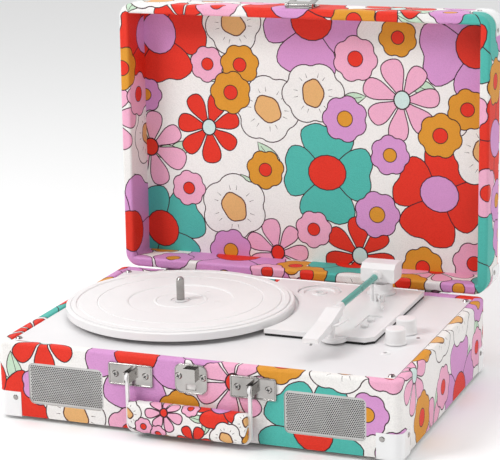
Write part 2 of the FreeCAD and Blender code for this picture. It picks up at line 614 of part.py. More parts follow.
for side, sign in SIDES:
    x = "%d*handle_x" % sign
    sheet_metal = slab("bracket_sheet_" + side, "bracket_width", "bracket_height", "2", "plate",
                       (x, FRONT, "bracket_z"), "-Y")
    ears = []
    for n, s in enumerate((-1, 1)):
        ear_x = "%s + %d*(leg_thickness/2 + ear_gap + ear/2)" % (x, s)
        ears.append(box("ear_%s_%d" % (side, n), ("ear", "pivot_front + 3", "9"),
                        (ear_x, FRONT + " - (pivot_front + 3)/2"), "bracket_z - 4.5"))
    pin = cylinder("handle_pin_" + side, "handle_pin", "leg_thickness + 2*ear_gap + 2*ear + 0.6",
                   ("%s - (leg_thickness/2 + ear_gap + ear + 0.3)" % x, PIVOT_Y, "bracket_z"), "+X")
    own = bracket_holes[:2] if sign < 0 else bracket_holes[2:]
    bracket = cut("bracket_" + side, fuse("bracket_solid_" + side, sheet_metal, pin, *ears), *own)
    keep(bracket, "handle_bracket_" + side)

BAND_HALF = "(handle_x + leg_thickness/2)"
BAND_INNER = "(handle_x - leg_thickness/2)"
BAND_BAR = "(handle_bottom + leg_thickness)"
LEG_TOP = "(bracket_z - neck + 0.5)"
HANDLE_Y = "(%s - handle_lean)" % PIVOT_Y
BAND_OUTLINE = [("-" + BAND_HALF, "handle_bottom"), (BAND_HALF, "handle_bottom"), (BAND_HALF, LEG_TOP),
                (BAND_INNER, LEG_TOP), (BAND_INNER, BAND_BAR), ("-" + BAND_INNER, BAND_BAR),
                ("-" + BAND_INNER, LEG_TOP), ("-" + BAND_HALF, LEG_TOP)]


def at_level(height):
    """Test for straight front-to-back edges at one height of the body's own frame."""
    def test(edge):
        return along(Y_AXIS)(edge) and abs(edge.BoundBox.ZMax - value(height)) < 1e-4
    return test


def handle_band(name, depth):
    """U-shaped strip, its two lower bends rounded inside and out."""
    bends = [(at_level("handle_bottom"), "band_corner"),
             (at_level(BAND_BAR), "band_corner - leg_thickness")]
    strip = pad(name, BAND_OUTLINE, depth, "XZ_Plane", midplane=True, round_edges=bends)
    return place(strip, 0, HANDLE_Y)


band = handle_band("band", "leg_depth")
eyes, eye_bores = [], []
for side, sign in SIDES:
    left_face = "%d*handle_x - leg_thickness/2" % sign
    eyes.append(cylinder("eye_" + side, "3.6", "leg_thickness", (left_face, PIVOT_Y, "bracket_z"), "+X"))
    eyes.append(box("neck_" + side, ("leg_thickness", "leg_depth", "neck"),
                    ("%d*handle_x" % sign, HANDLE_Y), "bracket_z - neck"))
    eye_bores.append(cylinder("eye_bore_" + side, "handle_pin + running_slack", "leg_thickness + 2",
                              (left_face + " - 1", PIVOT_Y, "bracket_z"), "+X"))
keep(cut("band_drilled", fuse("band_solid", band, *eyes), *eye_bores), "handle_band")
GRIP_HALF = "(%s - 0.01)" % BAND_INNER
grip_outline = [("-" + GRIP_HALF, "handle_bottom"), (GRIP_HALF, "handle_bottom"),
                (GRIP_HALF, "grip_top"), ("-" + GRIP_HALF, "grip_top")]
grip = pad("grip", grip_outline, "grip_depth", "XZ_Plane", midplane=True,
           round_edges=[(at_level("handle_bottom"), "band_corner"), (along(X_AXIS), "3")])
place(grip, 0, HANDLE_Y)
keep(cut("grip_grooved", grip, handle_band("grip_groove", "leg_depth + 0.02")), "handle_grip")

# ---- platter and pulley -------------------------------------------------------------------------

SKIRT = "(mat_top - 7.8)"
platter = revolve("platter_turned", [
    ("spindle_radius + running_slack", DISC_TOP + " + 0.2"), ("9", DISC_TOP + " + 0.2"),
    ("9", WEB_TOP + " - web"), ("drum_radius - 3", WEB_TOP + " - web"),
    ("drum_radius - 3", DISC_TOP + " + 0.9"),
    ("drum_radius", DISC_TOP + " + 0.9"), ("drum_radius", WEB_TOP + " - web"),
    ("platter_radius - 3", WEB_TOP + " - web"),
    ("platter_radius - 3", SKIRT), ("platter_radius", SKIRT), ("platter_radius", "mat_top - 1.6"),
    ("platter_radius - 1", "mat_top - 0.8"), ("mat_radius + 0.3", "mat_top - 0.8"),
    ("mat_radius + 0.3", WEB_TOP),
    ("spindle_radius + running_slack", WEB_TOP)])
keep(place(platter, *SPINDLE), "platter")
mat = revolve("mat_turned", [("9", WEB_TOP), ("mat_radius", WEB_TOP), ("mat_radius", "mat_top - 0.5"),
                             ("mat_radius - 0.5", "mat_top"), ("48", "mat_top"),
                             ("47", "mat_top - 0.7"), ("9", "mat_top - 0.7")])
keep(place(mat, *SPINDLE), "platter_mat")
pulley = revolve("pulley_turned", [("0", PLATE_UNDER + " - 8"), ("1", PLATE_UNDER + " - 8"),
                                   ("1", DISC_TOP + " + 0.6"),
                                   ("pulley_radius", DISC_TOP + " + 0.6"),
                                   ("pulley_radius", DISC_TOP + " + 4"),
                                   ("0", DISC_TOP + " + 4")])
keep(place(pulley, *PULLEY), "motor_pulley")

# ---- adapter, switches and cue lever ------------------------------------------------------------

adapter = revolve("adapter_turned", [
    ("3.65", "0"), ("adapter_radius", "0"), ("adapter_radius", "1.6"), ("adapter_radius - 1", "2.4"),
    ("adapter_radius - 5", "2.4"), ("adapter_radius - 6", "1.2"), ("7", "1.2"), ("6.4", "2.4"),
    ("3.65", "2.4")])
keep(place(adapter, "adapter_x", "adapter_y", PLATE_UNDER + " + 0.8"), "adapter_45")
for name, y in (("speed_switch_knob", "panel_y - 9"), ("autostop_switch_knob", "panel_y + 9")):
    cap = slab(name + "_cap", "6", "5", "0.8", "2", ("panel_x", y + " - 3", "plate_top - 0.8"))
    stem = box(name + "_stem", ("2.2", "3.6", "4"), ("panel_x", y + " - 3"), "plate_top - 4.6")
    keep(fuse(name + "_solid", cap, stem), name)
lift = revolve("lift_turned", [("0", PLATE_UNDER + " - 5"), ("1.5", PLATE_UNDER + " - 5"),
                               ("1.5", "arm_z - 4.6"),
                               ("3.2", "arm_z - 4.6"), ("3.2", "arm_z - tube_radius - 0.5"),
                               ("0", "arm_z - tube_radius - 0.5")])
keep(place(lift, "arm_x", "post_y"), "cue_lift_post")
lever_hub = cylinder("lever_hub", "2", "2.8", ("lever_x - 1.4", "lever_y", "lever_z"), "+X")
lever_bore = cylinder("lever_bore", "0.9 + running_slack", "5", ("lever_x - 2.5", "lever_y", "lever_z"),
                      "+X")
lever_rod = cylinder("lever_rod", "0.9", "30", ("lever_x", "lever_y - 1.4", "lever_z"), "-Y")
lever_rod.Placement.Rotation = FreeCAD.Rotation(Z_AXIS, 24).multiply(TURNS["-Y"])
lever_tip = cylinder("lever_tip", "1.5", "4", ("lever_x + 30*sin(24) - 0.8", "lever_y + 0.4 - 30*cos(24)",
                                               "lever_z"), "-Y")
lever_tip.Placement.Rotation = FreeCAD.Rotation(Z_AXIS, 24).multiply(TURNS["-Y"])
keep(cut("lever_drilled", fuse("lever_solid", lever_hub, lever_rod, lever_tip), lever_bore), "cue_lever")

# ---- tone arm -----------------------------------------------------------------------------------

rest_stem = cylinder("rest_stem", "3.5", "rest_height", ("arm_x", "plate_front - 3.6", "plate_top - 0.6"))
rest_pad = box("rest_pad", ("12", "5", "1.2"), ("arm_x", "plate_front - 2"),
               "plate_top + rest_height - 1.3")
keep(fuse("rest_solid", rest_stem, rest_pad), "arm_rest")
turret_foot = revolve("turret_foot", [("0", PLATE_UNDER + " - 6"), ("5", PLATE_UNDER + " - 6"),
                                      ("5", "plate_top + 0.3"),
                                      ("13", "plate_top + 0.3"), ("13", "plate_top + 2"),
                                      ("10", "plate_top + 4"), ("10", "83"), ("0", "83")])
place(turret_foot, "arm_x", "arm_y")
turret_post = box("turret_post", ("13", "13", "15.5"), ("arm_x", "arm_y"), "82")
turret_hole = cylinder("turret_hole", "1.6", "16", ("arm_x - 8", "arm_y", "arm_z"), "+X")
keep(cut("turret", fuse("turret_solid", turret_foot, turret_post), turret_hole), "arm_turret")
keep(cylinder("pivot_pin_rod", "1.5", "housing_width - 2",
              ("arm_x - housing_width/2 + 1", "arm_y", "arm_z"), "+X"),
     "arm_pivot_pin")
HOUSING_SIDE = [("-12", "housing_bottom"), ("8", "housing_bottom"), ("11", "housing_bottom + 3"),
                ("11", "housing_top - 2"), ("9", "housing_top"), ("-7", "housing_top"),
                ("-12", "housing_top - 4")]
shell = pad("housing_block", HOUSING_SIDE, "housing_width", "YZ_Plane", midplane=True)
place(shell, "arm_x", "arm_y")
neck = cylinder("housing_neck", "4.6", "9", ("arm_x", "arm_y - 11", "arm_z"), "-Y")
cavity = box("housing_cavity", ("15", "19", "13.5"), ("arm_x", "arm_y + 0.5"), "housing_bottom - 1")
pin_bore = cylinder("pin_bore", "1.5 + running_slack", "housing_width - 2 + 0.1",
                    ("arm_x - housing_width/2 + 0.95", "arm_y", "arm_z"), "+X")
tube_socket = cylinder("tube_socket", "tube_radius + running_slack", "20",
                       ("arm_x", "arm_y - 10", "arm_z"), "-Y")
keep(cut("housing", fuse("housing_solid", shell, neck), cavity, pin_bore, tube_socket), "arm_housing")
keep(cylinder("tube_rod", "tube_radius", "arm_y - 10 - tube_front", ("arm_x", "arm_y - 10", "arm_z"),
              "-Y"), "arm_tube")
collar = revolve("collar_turned", [
    ("0", "6.2"), ("0", "14"), ("3", "14"), ("3", "12.5"), ("4.2", "12"), ("4.2", "2"), ("3.6", "0"),
    ("tube_radius + running_slack", "0"), ("tube_radius + running_slack", "6.2")])
keep(place(collar, "arm_x", "tube_front + 6", "arm_z", turn="-Y"), "headshell_collar")

SHELL_SOLE = "(stylus_z + 2.2)"
SHELL_TOP = [("shell_back + 5", "arm_z + 3.4"), ("shell_back", "arm_z + 3.4"),
             ("shell_knee", "knee_ceiling + 1.4"), ("shell_front", "nose_ceiling + 1.4")]
SHELL_LOW = [("shell_front", SHELL_SOLE), ("shell_knee", SHELL_SOLE), ("shell_back - 14", "arm_z - 6.5"),
             ("shell_back + 5", "arm_z - 3.6")]
HOLLOW_SIDE = [("shell_front + shell_wall", "stylus_z"), ("shell_front + shell_wall", "nose_ceiling"),
               ("shell_knee", "knee_ceiling"), ("shell_back - 3", "arm_z + 1.8"),
               ("shell_back - 3", "stylus_z")]
shell_solid = place(pad("shell_solid", SHELL_LOW[::-1] + SHELL_TOP[::-1], "shell_width", "YZ_Plane",
                        midplane=True), "arm_x")
hollow = place(pad("shell_hollow", HOLLOW_SIDE, "shell_width - 2*shell_wall", "YZ_Plane", midplane=True),
               "arm_x")
shell_bore = cylinder("shell_bore", "3 + running_slack", "2.2", ("arm_x", "tube_front - 6", "arm_z"), "-Y")
keep(cut("shell_cut", shell_solid, hollow, shell_bore), "headshell")
lift_outline = [("0", "shell_knee - 2"), ("4.6", "shell_knee + 1"), ("7", "shell_knee + 22"),
                ("5", "shell_knee + 22"), ("3", "shell_knee + 4"), ("0", "shell_knee + 3")]
lift_bar = pad("lift_bar", lift_outline, "1.4")
keep(place(lift_bar, "arm_x + shell_width/2 + 0.01", 0, "arm_z - 5.7"), "finger_lift")


def under_ceiling(y):
    """Height just under the sloping ceiling in the front of the head shell."""
    nose = "shell_front + shell_wall"
    slope = "(knee_ceiling - nose_ceiling)/(shell_knee - %s)" % nose.replace("+", "-")
    return "nose_ceiling - 0.05 + %s*(%s - shell_front - shell_wall)" % (slope, y)


CARTRIDGE_FRONT = "(stylus_y + 3.5)"
CARTRIDGE_BACK = "(stylus_y + 20.5)"
CARTRIDGE_LOW = "(stylus_z + 3)"
cartridge_side = [(CARTRIDGE_FRONT, CARTRIDGE_LOW), (CARTRIDGE_BACK, CARTRIDGE_LOW),
                  (CARTRIDGE_BACK, under_ceiling(CARTRIDGE_BACK)),
                  (CARTRIDGE_FRONT, under_ceiling(CARTRIDGE_FRONT))]
cartridge = pad("cartridge_body", cartridge_side, "shell_width - 2*shell_wall - 0.4", "YZ_Plane",
                midplane=True)
keep(place(cartridge, "arm_x"), "cartridge")
stylus_side = [("stylus_y - 1", "stylus_z"), ("stylus_y + 1.2", "stylus_z + 1.4"),
               ("stylus_y + 3.4", CARTRIDGE_LOW), ("stylus_y + 12", CARTRIDGE_LOW),
               ("stylus_y + 12", SHELL_SOLE), ("stylus_y + 4", SHELL_SOLE)]
tip = pad("stylus_body", stylus_side, "2", "YZ_Plane", midplane=True)
keep(place(tip, "arm_x"), "stylus")

# ---- lid, drawn shut ----------------------------------------------------------------------------

lid_ring = wall_ring("lid_ring", LID_CEILING + " - " + LID_RIM, "lid_corner", ("0", "0", LID_RIM), False)
hasp_spots = [("%d*9" % i, FRONT + " - plate", "88") for i in (-1, 1)]
lid_hinge_spots = [("%d*hinge_x + %d*9" % (i, j), BACK + " + plate", "86") for i, j in CORNERS]
hasp_made, hasp_holes = fasteners("hasp_screw", "screw", hasp_spots, "-Y")
lid_hinge_made, lid_hinge_holes = fasteners("lid_hinge_screw", "screw", lid_hinge_spots, "+Y")
lid_fasteners += hasp_made + lid_hinge_made
lid_rivet_holes = []
for label, side in (("front", "-Y"), ("back", "+Y"), ("left", "-X"), ("right", "+X")):
    made, holes = fasteners("lid_%s_rivet" % label, "rivet", rivet_spots(side, LID_TOP + " - rivet_up"),
                            side)
    lid_fasteners += made
    lid_rivet_holes += holes
keep(cut("lid_walls", lid_ring, *(hasp_holes + lid_hinge_holes + lid_rivet_holes)), "lid_frame", lid=True)
top_soft = [(at_height("lid_panel_thickness"), "3")]
keep(group("lid_top_set", [slab("lid_top", "case_width", "case_depth", "lid_corner", "lid_panel_thickness",
                                ("0", "0", LID_CEILING), extra=top_soft)]), "lid_panel", lid=True)
lid_covers = corner_covers("lid_covers", "lid_corner", LID_RIM, "lid_height", LID_RIM,
                           LID_TOP + " - cover_size", lid_rivet_holes)
keep(lid_covers, "lid_corner_protectors", lid=True)

HASP_Z = "(%s + 3.5)" % LID_RIM
HASP_Y = "(%s - plate - 1.9)" % FRONT
hasp_sheet_metal = slab("hasp_sheet_metal", "hasp_width", "23", "2", "plate",
                        ("0", FRONT, HASP_Z + " + 10"), "-Y")
knuckles = [cylinder("hasp_knuckle_%d" % n, "2.2", "3", (x, HASP_Y, HASP_Z), "+X")
            for n, x in enumerate(("-13", "10"))]
hasp_pin = cylinder("hasp_pin", "1", "24", ("-12", HASP_Y, HASP_Z), "+X")
keep(cut("hasp_base", fuse("hasp_base_solid", hasp_sheet_metal, hasp_pin, *knuckles), *hasp_holes),
     "hasp_plate", lid=True)
frame_plate = pad("hasp_frame", [("-hasp_width/2 + 0.5", "2.2"), ("hasp_width/2 - 0.5", "2.2"),
                                 ("hasp_width/2 - 0.5", "hasp_length"), ("-hasp_width/2 + 0.5", "hasp_length")],
                  "hasp_sheet", "XZ_Plane", midplane=True)
hasp_window = pad("hasp_window", [("-7.5", "8"), ("7.5", "8"), ("7.5", "22"), ("-7.5", "22")], "10",
                  "XZ_Plane", midplane=True)
hasp_tab = pad("hasp_tab", [("-9.4", "-0.8"), ("9.4", "-0.8"), ("9.4", "4"), ("-9.4", "4")], "hasp_sheet",
               "XZ_Plane", midplane=True)
for piece in (frame_plate, hasp_window, hasp_tab):
    place(piece, 0, HASP_Y, HASP_Z)
    piece.Placement.Rotation = FreeCAD.Rotation(X_AXIS, value("hasp_tilt"))
barrel = cylinder("hasp_barrel", "1.6", "18.8", ("-9.4", HASP_Y, HASP_Z), "+X")
hasp_bore = cylinder("hasp_bore", "1 + running_slack", "30", ("-15", HASP_Y, HASP_Z), "+X")
keep(cut("hasp_cut", fuse("hasp_solid", frame_plate, hasp_tab, barrel), hasp_window, hasp_bore), "hasp",
     lid=True)

base_leaves, lid_leaves, pins = [], [], []
for number, (side, sign) in enumerate(SIDES):
    x = "%d*hinge_x" % sign
    base_solid = [slab("base_leaf_" + side, "32", "23", "2", "plate", (x, BACK, "51"), "+Y")]
    for n, s in enumerate((-1, 1)):
        knuckle_x = "%s + %d*11.5" % (x, s)
        base_solid.append(cylinder("base_knuckle_%s_%d" % (side, n), "hinge_knuckle", "8",
                                   (knuckle_x + " - 4", HINGE_Y, HINGE_Z), "+X"))
        base_solid.append(box("base_strap_%s_%d" % (side, n), ("8", "plate", "%s - 60" % HINGE_Z),
                              (knuckle_x, BACK + " + plate/2"), "60"))
    bore = cylinder("base_bore_" + side, "hinge_pin + hole_slack", "40", (x + " - 20", HINGE_Y, HINGE_Z),
                    "+X")
    own = hinge_holes[:2] if sign < 0 else hinge_holes[2:]
    base_leaf = fuse("base_leaf_solid_" + side, *base_solid)
    base_leaves.append(cut("base_leaf_cut_" + side, base_leaf, bore, *own))
    pins.append(cylinder("pin_" + side, "hinge_pin", "33", (x + " - 16.5", HINGE_Y, HINGE_Z), "+X"))
    upper = slab("lid_leaf_" + side, "32", "23", "2", "plate", (x, BACK, "84"), "+Y")
    strap = box("lid_strap_" + side, ("14", "plate", "75 - %s" % HINGE_Z), (x, BACK + " + plate/2"),
                HINGE_Z)
    middle = cylinder("lid_knuckle_" + side, "hinge_knuckle", "14", (x + " - 7", HINGE_Y, HINGE_Z), "+X")
    lid_bore = cylinder("lid_bore_" + side, "hinge_pin + running_slack", "40",
                        (x + " - 20", HINGE_Y, HINGE_Z), "+X")
    own = lid_hinge_holes[:2] if sign < 0 else lid_hinge_holes[2:]
    lid_leaf = fuse("lid_leaf_solid_" + side, upper, strap, middle)
    lid_leaves.append(cut("lid_leaf_cut_" + side, lid_leaf, lid_bore, *own))
keep(group("base_leaves_set", base_leaves), "hinge_base_leaves")
keep(group("pins_set", pins), "hinge_pins")
keep(group("lid_leaves_set", lid_leaves), "hinge_lid_leaves", lid=True)
keep(group("lid_fasteners_set", lid_fasteners), "lid_fasteners", lid=True)
keep(group("base_fasteners_set", base_fasteners), "base_fasteners")

# ---- checks and files ---------------------------------------------------------------------------

document.recompute()
faults = [item.Name for item in document.Objects if "Invalid" in item.State or "Error" in item.State]
if faults:
    raise SystemExit("failed features: " + ", ".join(faults))
whole = FreeCAD.BoundBox()
for item in sub_parts:
    shape = item.Shape
    if shape.isNull() or not shape.isValid() or not shape.Solids:
        raise SystemExit("bad shape: " + item.Label)
    whole.add(shape.BoundBox)
os.makedirs("parts", exist_ok=True)
for item in sub_parts:
    item.Shape.exportStep("parts/%s.step" % item.Label)
    print("%-24s solids %2d  volume %10.1f" % (item.Label, len(item.Shape.Solids), item.Shape.Volume))
print(len(sub_parts), "sub-parts, box", whole)
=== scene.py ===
import math
import random

import bpy
import numpy as np
from mathutils import Matrix, Vector
from mathutils.geometry import delaunay_2d_cdt


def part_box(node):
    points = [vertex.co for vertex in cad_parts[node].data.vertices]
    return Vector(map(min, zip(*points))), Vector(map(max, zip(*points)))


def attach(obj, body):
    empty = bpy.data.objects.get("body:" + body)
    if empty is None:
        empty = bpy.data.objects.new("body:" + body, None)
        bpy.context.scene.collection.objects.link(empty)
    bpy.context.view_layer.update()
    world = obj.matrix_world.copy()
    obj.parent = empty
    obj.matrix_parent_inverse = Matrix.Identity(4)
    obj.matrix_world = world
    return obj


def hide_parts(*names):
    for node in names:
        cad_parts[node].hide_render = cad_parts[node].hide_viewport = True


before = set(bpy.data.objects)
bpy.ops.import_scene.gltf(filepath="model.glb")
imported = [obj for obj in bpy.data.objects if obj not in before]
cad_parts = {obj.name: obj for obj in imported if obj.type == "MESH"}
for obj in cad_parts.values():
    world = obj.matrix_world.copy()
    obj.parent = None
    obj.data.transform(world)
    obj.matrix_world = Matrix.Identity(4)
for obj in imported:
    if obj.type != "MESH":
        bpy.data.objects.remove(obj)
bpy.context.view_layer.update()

# Suitcase record player.  Lengths in this script are millimetres in the row frame and become
# metres as each mesh is made.  "Case coordinates" start at the middle of the case on the floor.

CASE_W, CASE_D = 356.0, 252.0
CASE_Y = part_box("base_front_board")[0].y * 1000 + CASE_D / 2
BOARD = 9.0
SKIN = 0.15
FLOOR_Z, RIM_Z, DECK_Z = 4.0, 68.0, 67.0
LID_RIM_Z, LID_CEILING_Z, LID_TOP_Z = 68.5, 104.5, 108.5
HINGE = Vector((0, 128.1, 65.0))
LID_TURN = math.radians(-91)
PLATTER = Vector((-64.5, 3.0, 0))
HANDLE_X, BRACKET_Z, LATCH_Z = 54, 51, 53
GRILLE_X, GRILLE_UP = 114.5, 30.0
HINGE_X = 128
KNOB_X, JACK_Y = 142.5, -55.5


def row(p):
    """Case coordinates in mm to the row frame in metres."""
    return Vector((p[0], p[1] + CASE_Y, p[2])) / 1000


def opened(p):
    """A point of the shut lid, turned back about the hinge pins; both in case coordinates."""
    c, s = math.cos(LID_TURN), math.sin(LID_TURN)
    y, z = p[1] - HINGE.y, p[2] - HINGE.z
    return Vector((p[0], HINGE.y + y * c - z * s, HINGE.z + y * s + z * c))


# ---- node materials -----------------------------------------------------------------------------

def srgb(code):
    """Linear colour of a six-digit hex code."""
    parts = [int(code[i:i + 2], 16) / 255 for i in (0, 2, 4)]
    return tuple(c / 12.92 if c <= 0.04045 else ((c + 0.055) / 1.055) ** 2.4 for c in parts) + (1.0,)


class Nodes:
    """Short way of adding linked nodes to a new material."""

    def __init__(self, name):
        self.material = bpy.data.materials.new(name)
        self.material.use_nodes = True
        self.tree = self.material.node_tree
        self.shader = self.tree.nodes["Principled BSDF"]

    def add(self, kind, **inputs):
        node = self.tree.nodes.new(kind)
        for key, what in inputs.items():
            self.put(node, key.replace("_", " "), what)
        return node

    def put(self, node, socket, what):
        target = node.inputs[int(socket) if socket.isdigit() else socket]
        if isinstance(what, bpy.types.NodeSocket):
            self.tree.links.new(what, target)
        else:
            target.default_value = what

    def set(self, **inputs):
        for key, what in inputs.items():
            self.put(self.shader, key.replace("_", " "), what)

    def position(self):
        return self.add("ShaderNodeTexCoord").outputs["Object"]

    def noise(self, scale, detail=3.0, vector=None):
        node = self.add("ShaderNodeTexNoise", Vector=vector or self.position(), Scale=scale, Detail=detail)
        return node.outputs["Fac"]

    def cells(self, scale, feature="F1"):
        node = self.add("ShaderNodeTexVoronoi", Vector=self.position(), Scale=scale)
        node.feature = feature
        return node.outputs["Distance"]

    def math(self, operation, a, b=0.0):
        node = self.add("ShaderNodeMath")
        node.operation = operation
        self.put(node, "0", a)
        self.put(node, "1", b)
        return node.outputs[0]

    def mix(self, factor, a, b, blend="MIX"):
        node = self.add("ShaderNodeMix")
        node.data_type = "RGBA"
        node.blend_type = blend
        for socket, what in ((0, factor), (6, a), (7, b)):
            self.put(node, str(socket), what)
        return node.outputs[2]

    def ramp(self, what, low, high, start, end):
        node = self.add("ShaderNodeMapRange", Value=what)
        for socket, number in (("From Min", low), ("From Max", high), ("To Min", start), ("To Max", end)):
            node.inputs[socket].default_value = number
        return node.outputs[0]

    def bump(self, height, strength, distance):
        node = self.add("ShaderNodeBump", Height=height)
        node.inputs["Strength"].default_value = strength
        node.inputs["Distance"].default_value = distance
        return node.outputs["Normal"]


def leather_relief(n):
    """Height of a fine pebbled grain with slow swelling under it."""
    pebbles = n.ramp(n.cells(900.0), 0.0, 0.9, 1.0, 0.0)
    fine = n.noise(2200.0, 2.0)
    return n.math("ADD", n.math("MULTIPLY", pebbles, 0.8), n.math("MULTIPLY", fine, 0.35))


def print_material():
    n = Nodes("printed_leatherette")
    colour = n.add("ShaderNodeAttribute")
    colour.attribute_name = "print"
    relief = leather_relief(n)
    shade = n.ramp(relief, 0.2, 1.1, 0.90, 1.03)
    slow = n.ramp(n.noise(14.0), 0.3, 0.7, 0.97, 1.02)
    tone = n.math("MULTIPLY", shade, slow)
    grey = n.add("ShaderNodeCombineColor", Red=tone, Green=tone, Blue=tone)
    n.set(Base_Color=n.mix(1.0, colour.outputs["Color"], grey.outputs[0], "MULTIPLY"),
          Roughness=n.ramp(relief, 0.2, 1.1, 0.62, 0.48), Specular_IOR_Level=0.3,
          Normal=n.bump(relief, 0.55, 0.0004))
    return n.material


def plastic(name, code, rough=0.38, grain=0.15, scale=900.0, coat=0.0):
    """Moulded plastic: faint sparkle texture, slow tone change and smudged gloss."""
    n = Nodes(name)
    texture = n.noise(scale, 4.0)
    slow = n.noise(18.0, 2.0)
    base = srgb(code)
    dim = tuple(c * 0.93 for c in base[:3]) + (1.0,)
    n.set(Base_Color=n.mix(n.ramp(slow, 0.35, 0.65, 0.0, 0.5), base, dim),
          Roughness=n.ramp(n.noise(60.0), 0.3, 0.7, rough - 0.06, rough + 0.06),
          Normal=n.bump(texture, grain, 0.0001))
    n.set(Coat_Weight=coat)
    return n.material


def metal(name, code, rough=0.16, streak=(1.0, 1.0, 1.0), dark=0.75):
    """Metal with faint polishing streaks and tarnish in its tone and gloss."""
    n = Nodes(name)
    mapping = n.add("ShaderNodeMapping", Vector=n.position(), Scale=streak)
    lines = n.noise(420.0, 4.0, mapping.outputs[0])
    cloud = n.noise(35.0, 3.0)
    base = srgb(code)
    dim = tuple(c * dark for c in base[:3]) + (1.0,)
    n.set(Base_Color=n.mix(n.ramp(cloud, 0.4, 0.75, 0.0, 1.0), base, dim), Metallic=1.0,
          Roughness=n.ramp(lines, 0.3, 0.7, rough - 0.05, rough + 0.09),
          Normal=n.bump(lines, 0.10, 0.00004))
    return n.material


def board_material(name, code, scale=260.0, rough=0.8):
    """Pressed fibre or paper: speckled fibres and a rough face."""
    n = Nodes(name)
    fibre = n.noise(scale, 6.0)
    base = srgb(code)
    dark = tuple(c * 0.66 for c in base[:3]) + (1.0,)
    n.set(Base_Color=n.mix(n.ramp(fibre, 0.35, 0.7, 0.0, 1.0), base, dark), Roughness=rough,
          Normal=n.bump(fibre, 0.4, 0.0003))
    return n.material


PRINT = print_material()
WHITE = plastic("satin_white_plastic", "ECEAEA", 0.34, 0.10, coat=0.1)
MAT_WHITE = plastic("slip_mat_white", "E9E7E7", 0.5, 0.25, 1400.0)
DECK_WHITE = plastic("deck_white_paint", "E6E4E5", 0.42, 0.12, 500.0)
COVER_WHITE = plastic("corner_white_gloss", "EFEFEF", 0.2, 0.05, coat=0.4)
TEAL = plastic("teal_arm_paint", "4FA79B", 0.3, 0.05, coat=0.3)
CHROME = metal("bright_chrome", "B4B1AE", 0.12, dark=0.6)
STEEL = metal("plain_steel", "9C9C9F", 0.3, (1.0, 12.0, 1.0))
MESH = metal("grille_aluminium", "C9C8C6", 0.36, dark=0.85)
BLACK = plastic("black_plastic", "1B1B1D", 0.45, 0.3)
CLOTH = board_material("speaker_cloth", "141414", 1500.0, 0.95)
RUBBER = plastic("belt_rubber", "222224", 0.7, 0.4)
FOOT = plastic("foot_rubber", "B9B4B2", 0.75, 0.5)
FIBRE = board_material("fibreboard", "B4926A")
LINING = board_material("bottom_paper", "3B3936", 500.0)
CIRCUIT = plastic("circuit_green", "1D6A41", 0.35, 0.4, 260.0)
CONE = board_material("cone_paper", "26252A", 900.0)
# painted shade: the dark of the screw heads' cross slots
SLOT_SHADE = plastic("cross_slot_painted_shade", "3A3A3C", 0.5, 0.1)
SHADOW = plastic("shadow_gap_black", "121214", 0.6, 0.1)
LENS = plastic("dull_lens", "8E7F80", 0.25, 0.05, coat=0.5)
GREY = plastic("stylus_grey", "B9B7B8", 0.4, 0.1)
PLAIN_SKIN = plastic("plain_leatherette", "E9E6E2", 0.55, 0.5, 900.0)

FINISHES = {
    "base_front_board": PLAIN_SKIN, "base_right_board": PLAIN_SKIN, "base_back_board": PLAIN_SKIN,
    "base_left_board": PLAIN_SKIN, "lid_frame": PLAIN_SKIN, "lid_panel": PLAIN_SKIN,
    "base_bottom_panel": LINING, "corner_blocks": FIBRE, "feet": FOOT,
    "base_corner_protectors": COVER_WHITE, "lid_corner_protectors": COVER_WHITE,
    "deck_board": DECK_WHITE, "mechanism_plate": WHITE, "plate_mounts": RUBBER, "spindle": CHROME,
    "spindle_clip": WHITE, "motor": STEEL, "drive_belt": RUBBER, "amplifier_board": CIRCUIT,
    "control_pots": STEEL, "volume_knob": WHITE, "function_knob": WHITE, "power_led": LENS,
    "headphone_jack": WHITE, "speaker_grille_left": MESH, "speaker_grille_right": MESH,
    "speakers": STEEL, "speaker_cones": CONE, "rear_socket_panel": BLACK, "rear_sockets": CHROME,
    "latch_plate": CHROME, "handle_bracket_left": CHROME, "handle_bracket_right": CHROME,
    "handle_band": WHITE, "handle_grip": PLAIN_SKIN, "platter": WHITE, "platter_mat": MAT_WHITE,
    "motor_pulley": WHITE, "adapter_45": WHITE, "speed_switch_knob": WHITE,
    "autostop_switch_knob": WHITE, "cue_lift_post": WHITE, "cue_lever": WHITE, "arm_rest": WHITE,
    "arm_turret": WHITE, "arm_pivot_pin": STEEL, "arm_housing": WHITE, "arm_tube": TEAL,
    "headshell_collar": WHITE, "headshell": WHITE, "finger_lift": WHITE, "cartridge": BLACK,
    "stylus": GREY, "hasp_plate": CHROME, "hasp": CHROME, "hinge_base_leaves": CHROME,
    "hinge_pins": STEEL, "hinge_lid_leaves": CHROME, "lid_fasteners": CHROME,
    "base_fasteners": CHROME,
}
for name, material in FINISHES.items():
    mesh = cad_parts[name].data
    mesh.materials.clear()
    mesh.materials.append(material)


# ---- meshes -------------------------------------------------------------------------------------

def piece(name, points, faces, body, material, smooth=False, colours=None, normals=None):
    """Mesh object from case-coordinate points in mm, riding on a body."""
    mesh = bpy.data.meshes.new(name)
    mesh.from_pydata([row(p) for p in points], [], faces)
    mesh.materials.append(material)
    if colours:
        attribute = mesh.color_attributes.new("print", "FLOAT_COLOR", "CORNER")
        flat = []
        for face, colour in zip(faces, colours):
            flat.extend(colour * len(face))
        attribute.data.foreach_set("color", flat)
    mesh.update()
    if smooth:
        mesh.shade_smooth()
    if normals:
        mesh.normals_split_custom_set_from_vertices(normals)
    item = bpy.data.objects.new(name, mesh)
    bpy.context.scene.collection.objects.link(item)
    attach(item, body)
    return item


# ---- the print: flat motifs in mm, later ones over earlier ones ---------------------------------

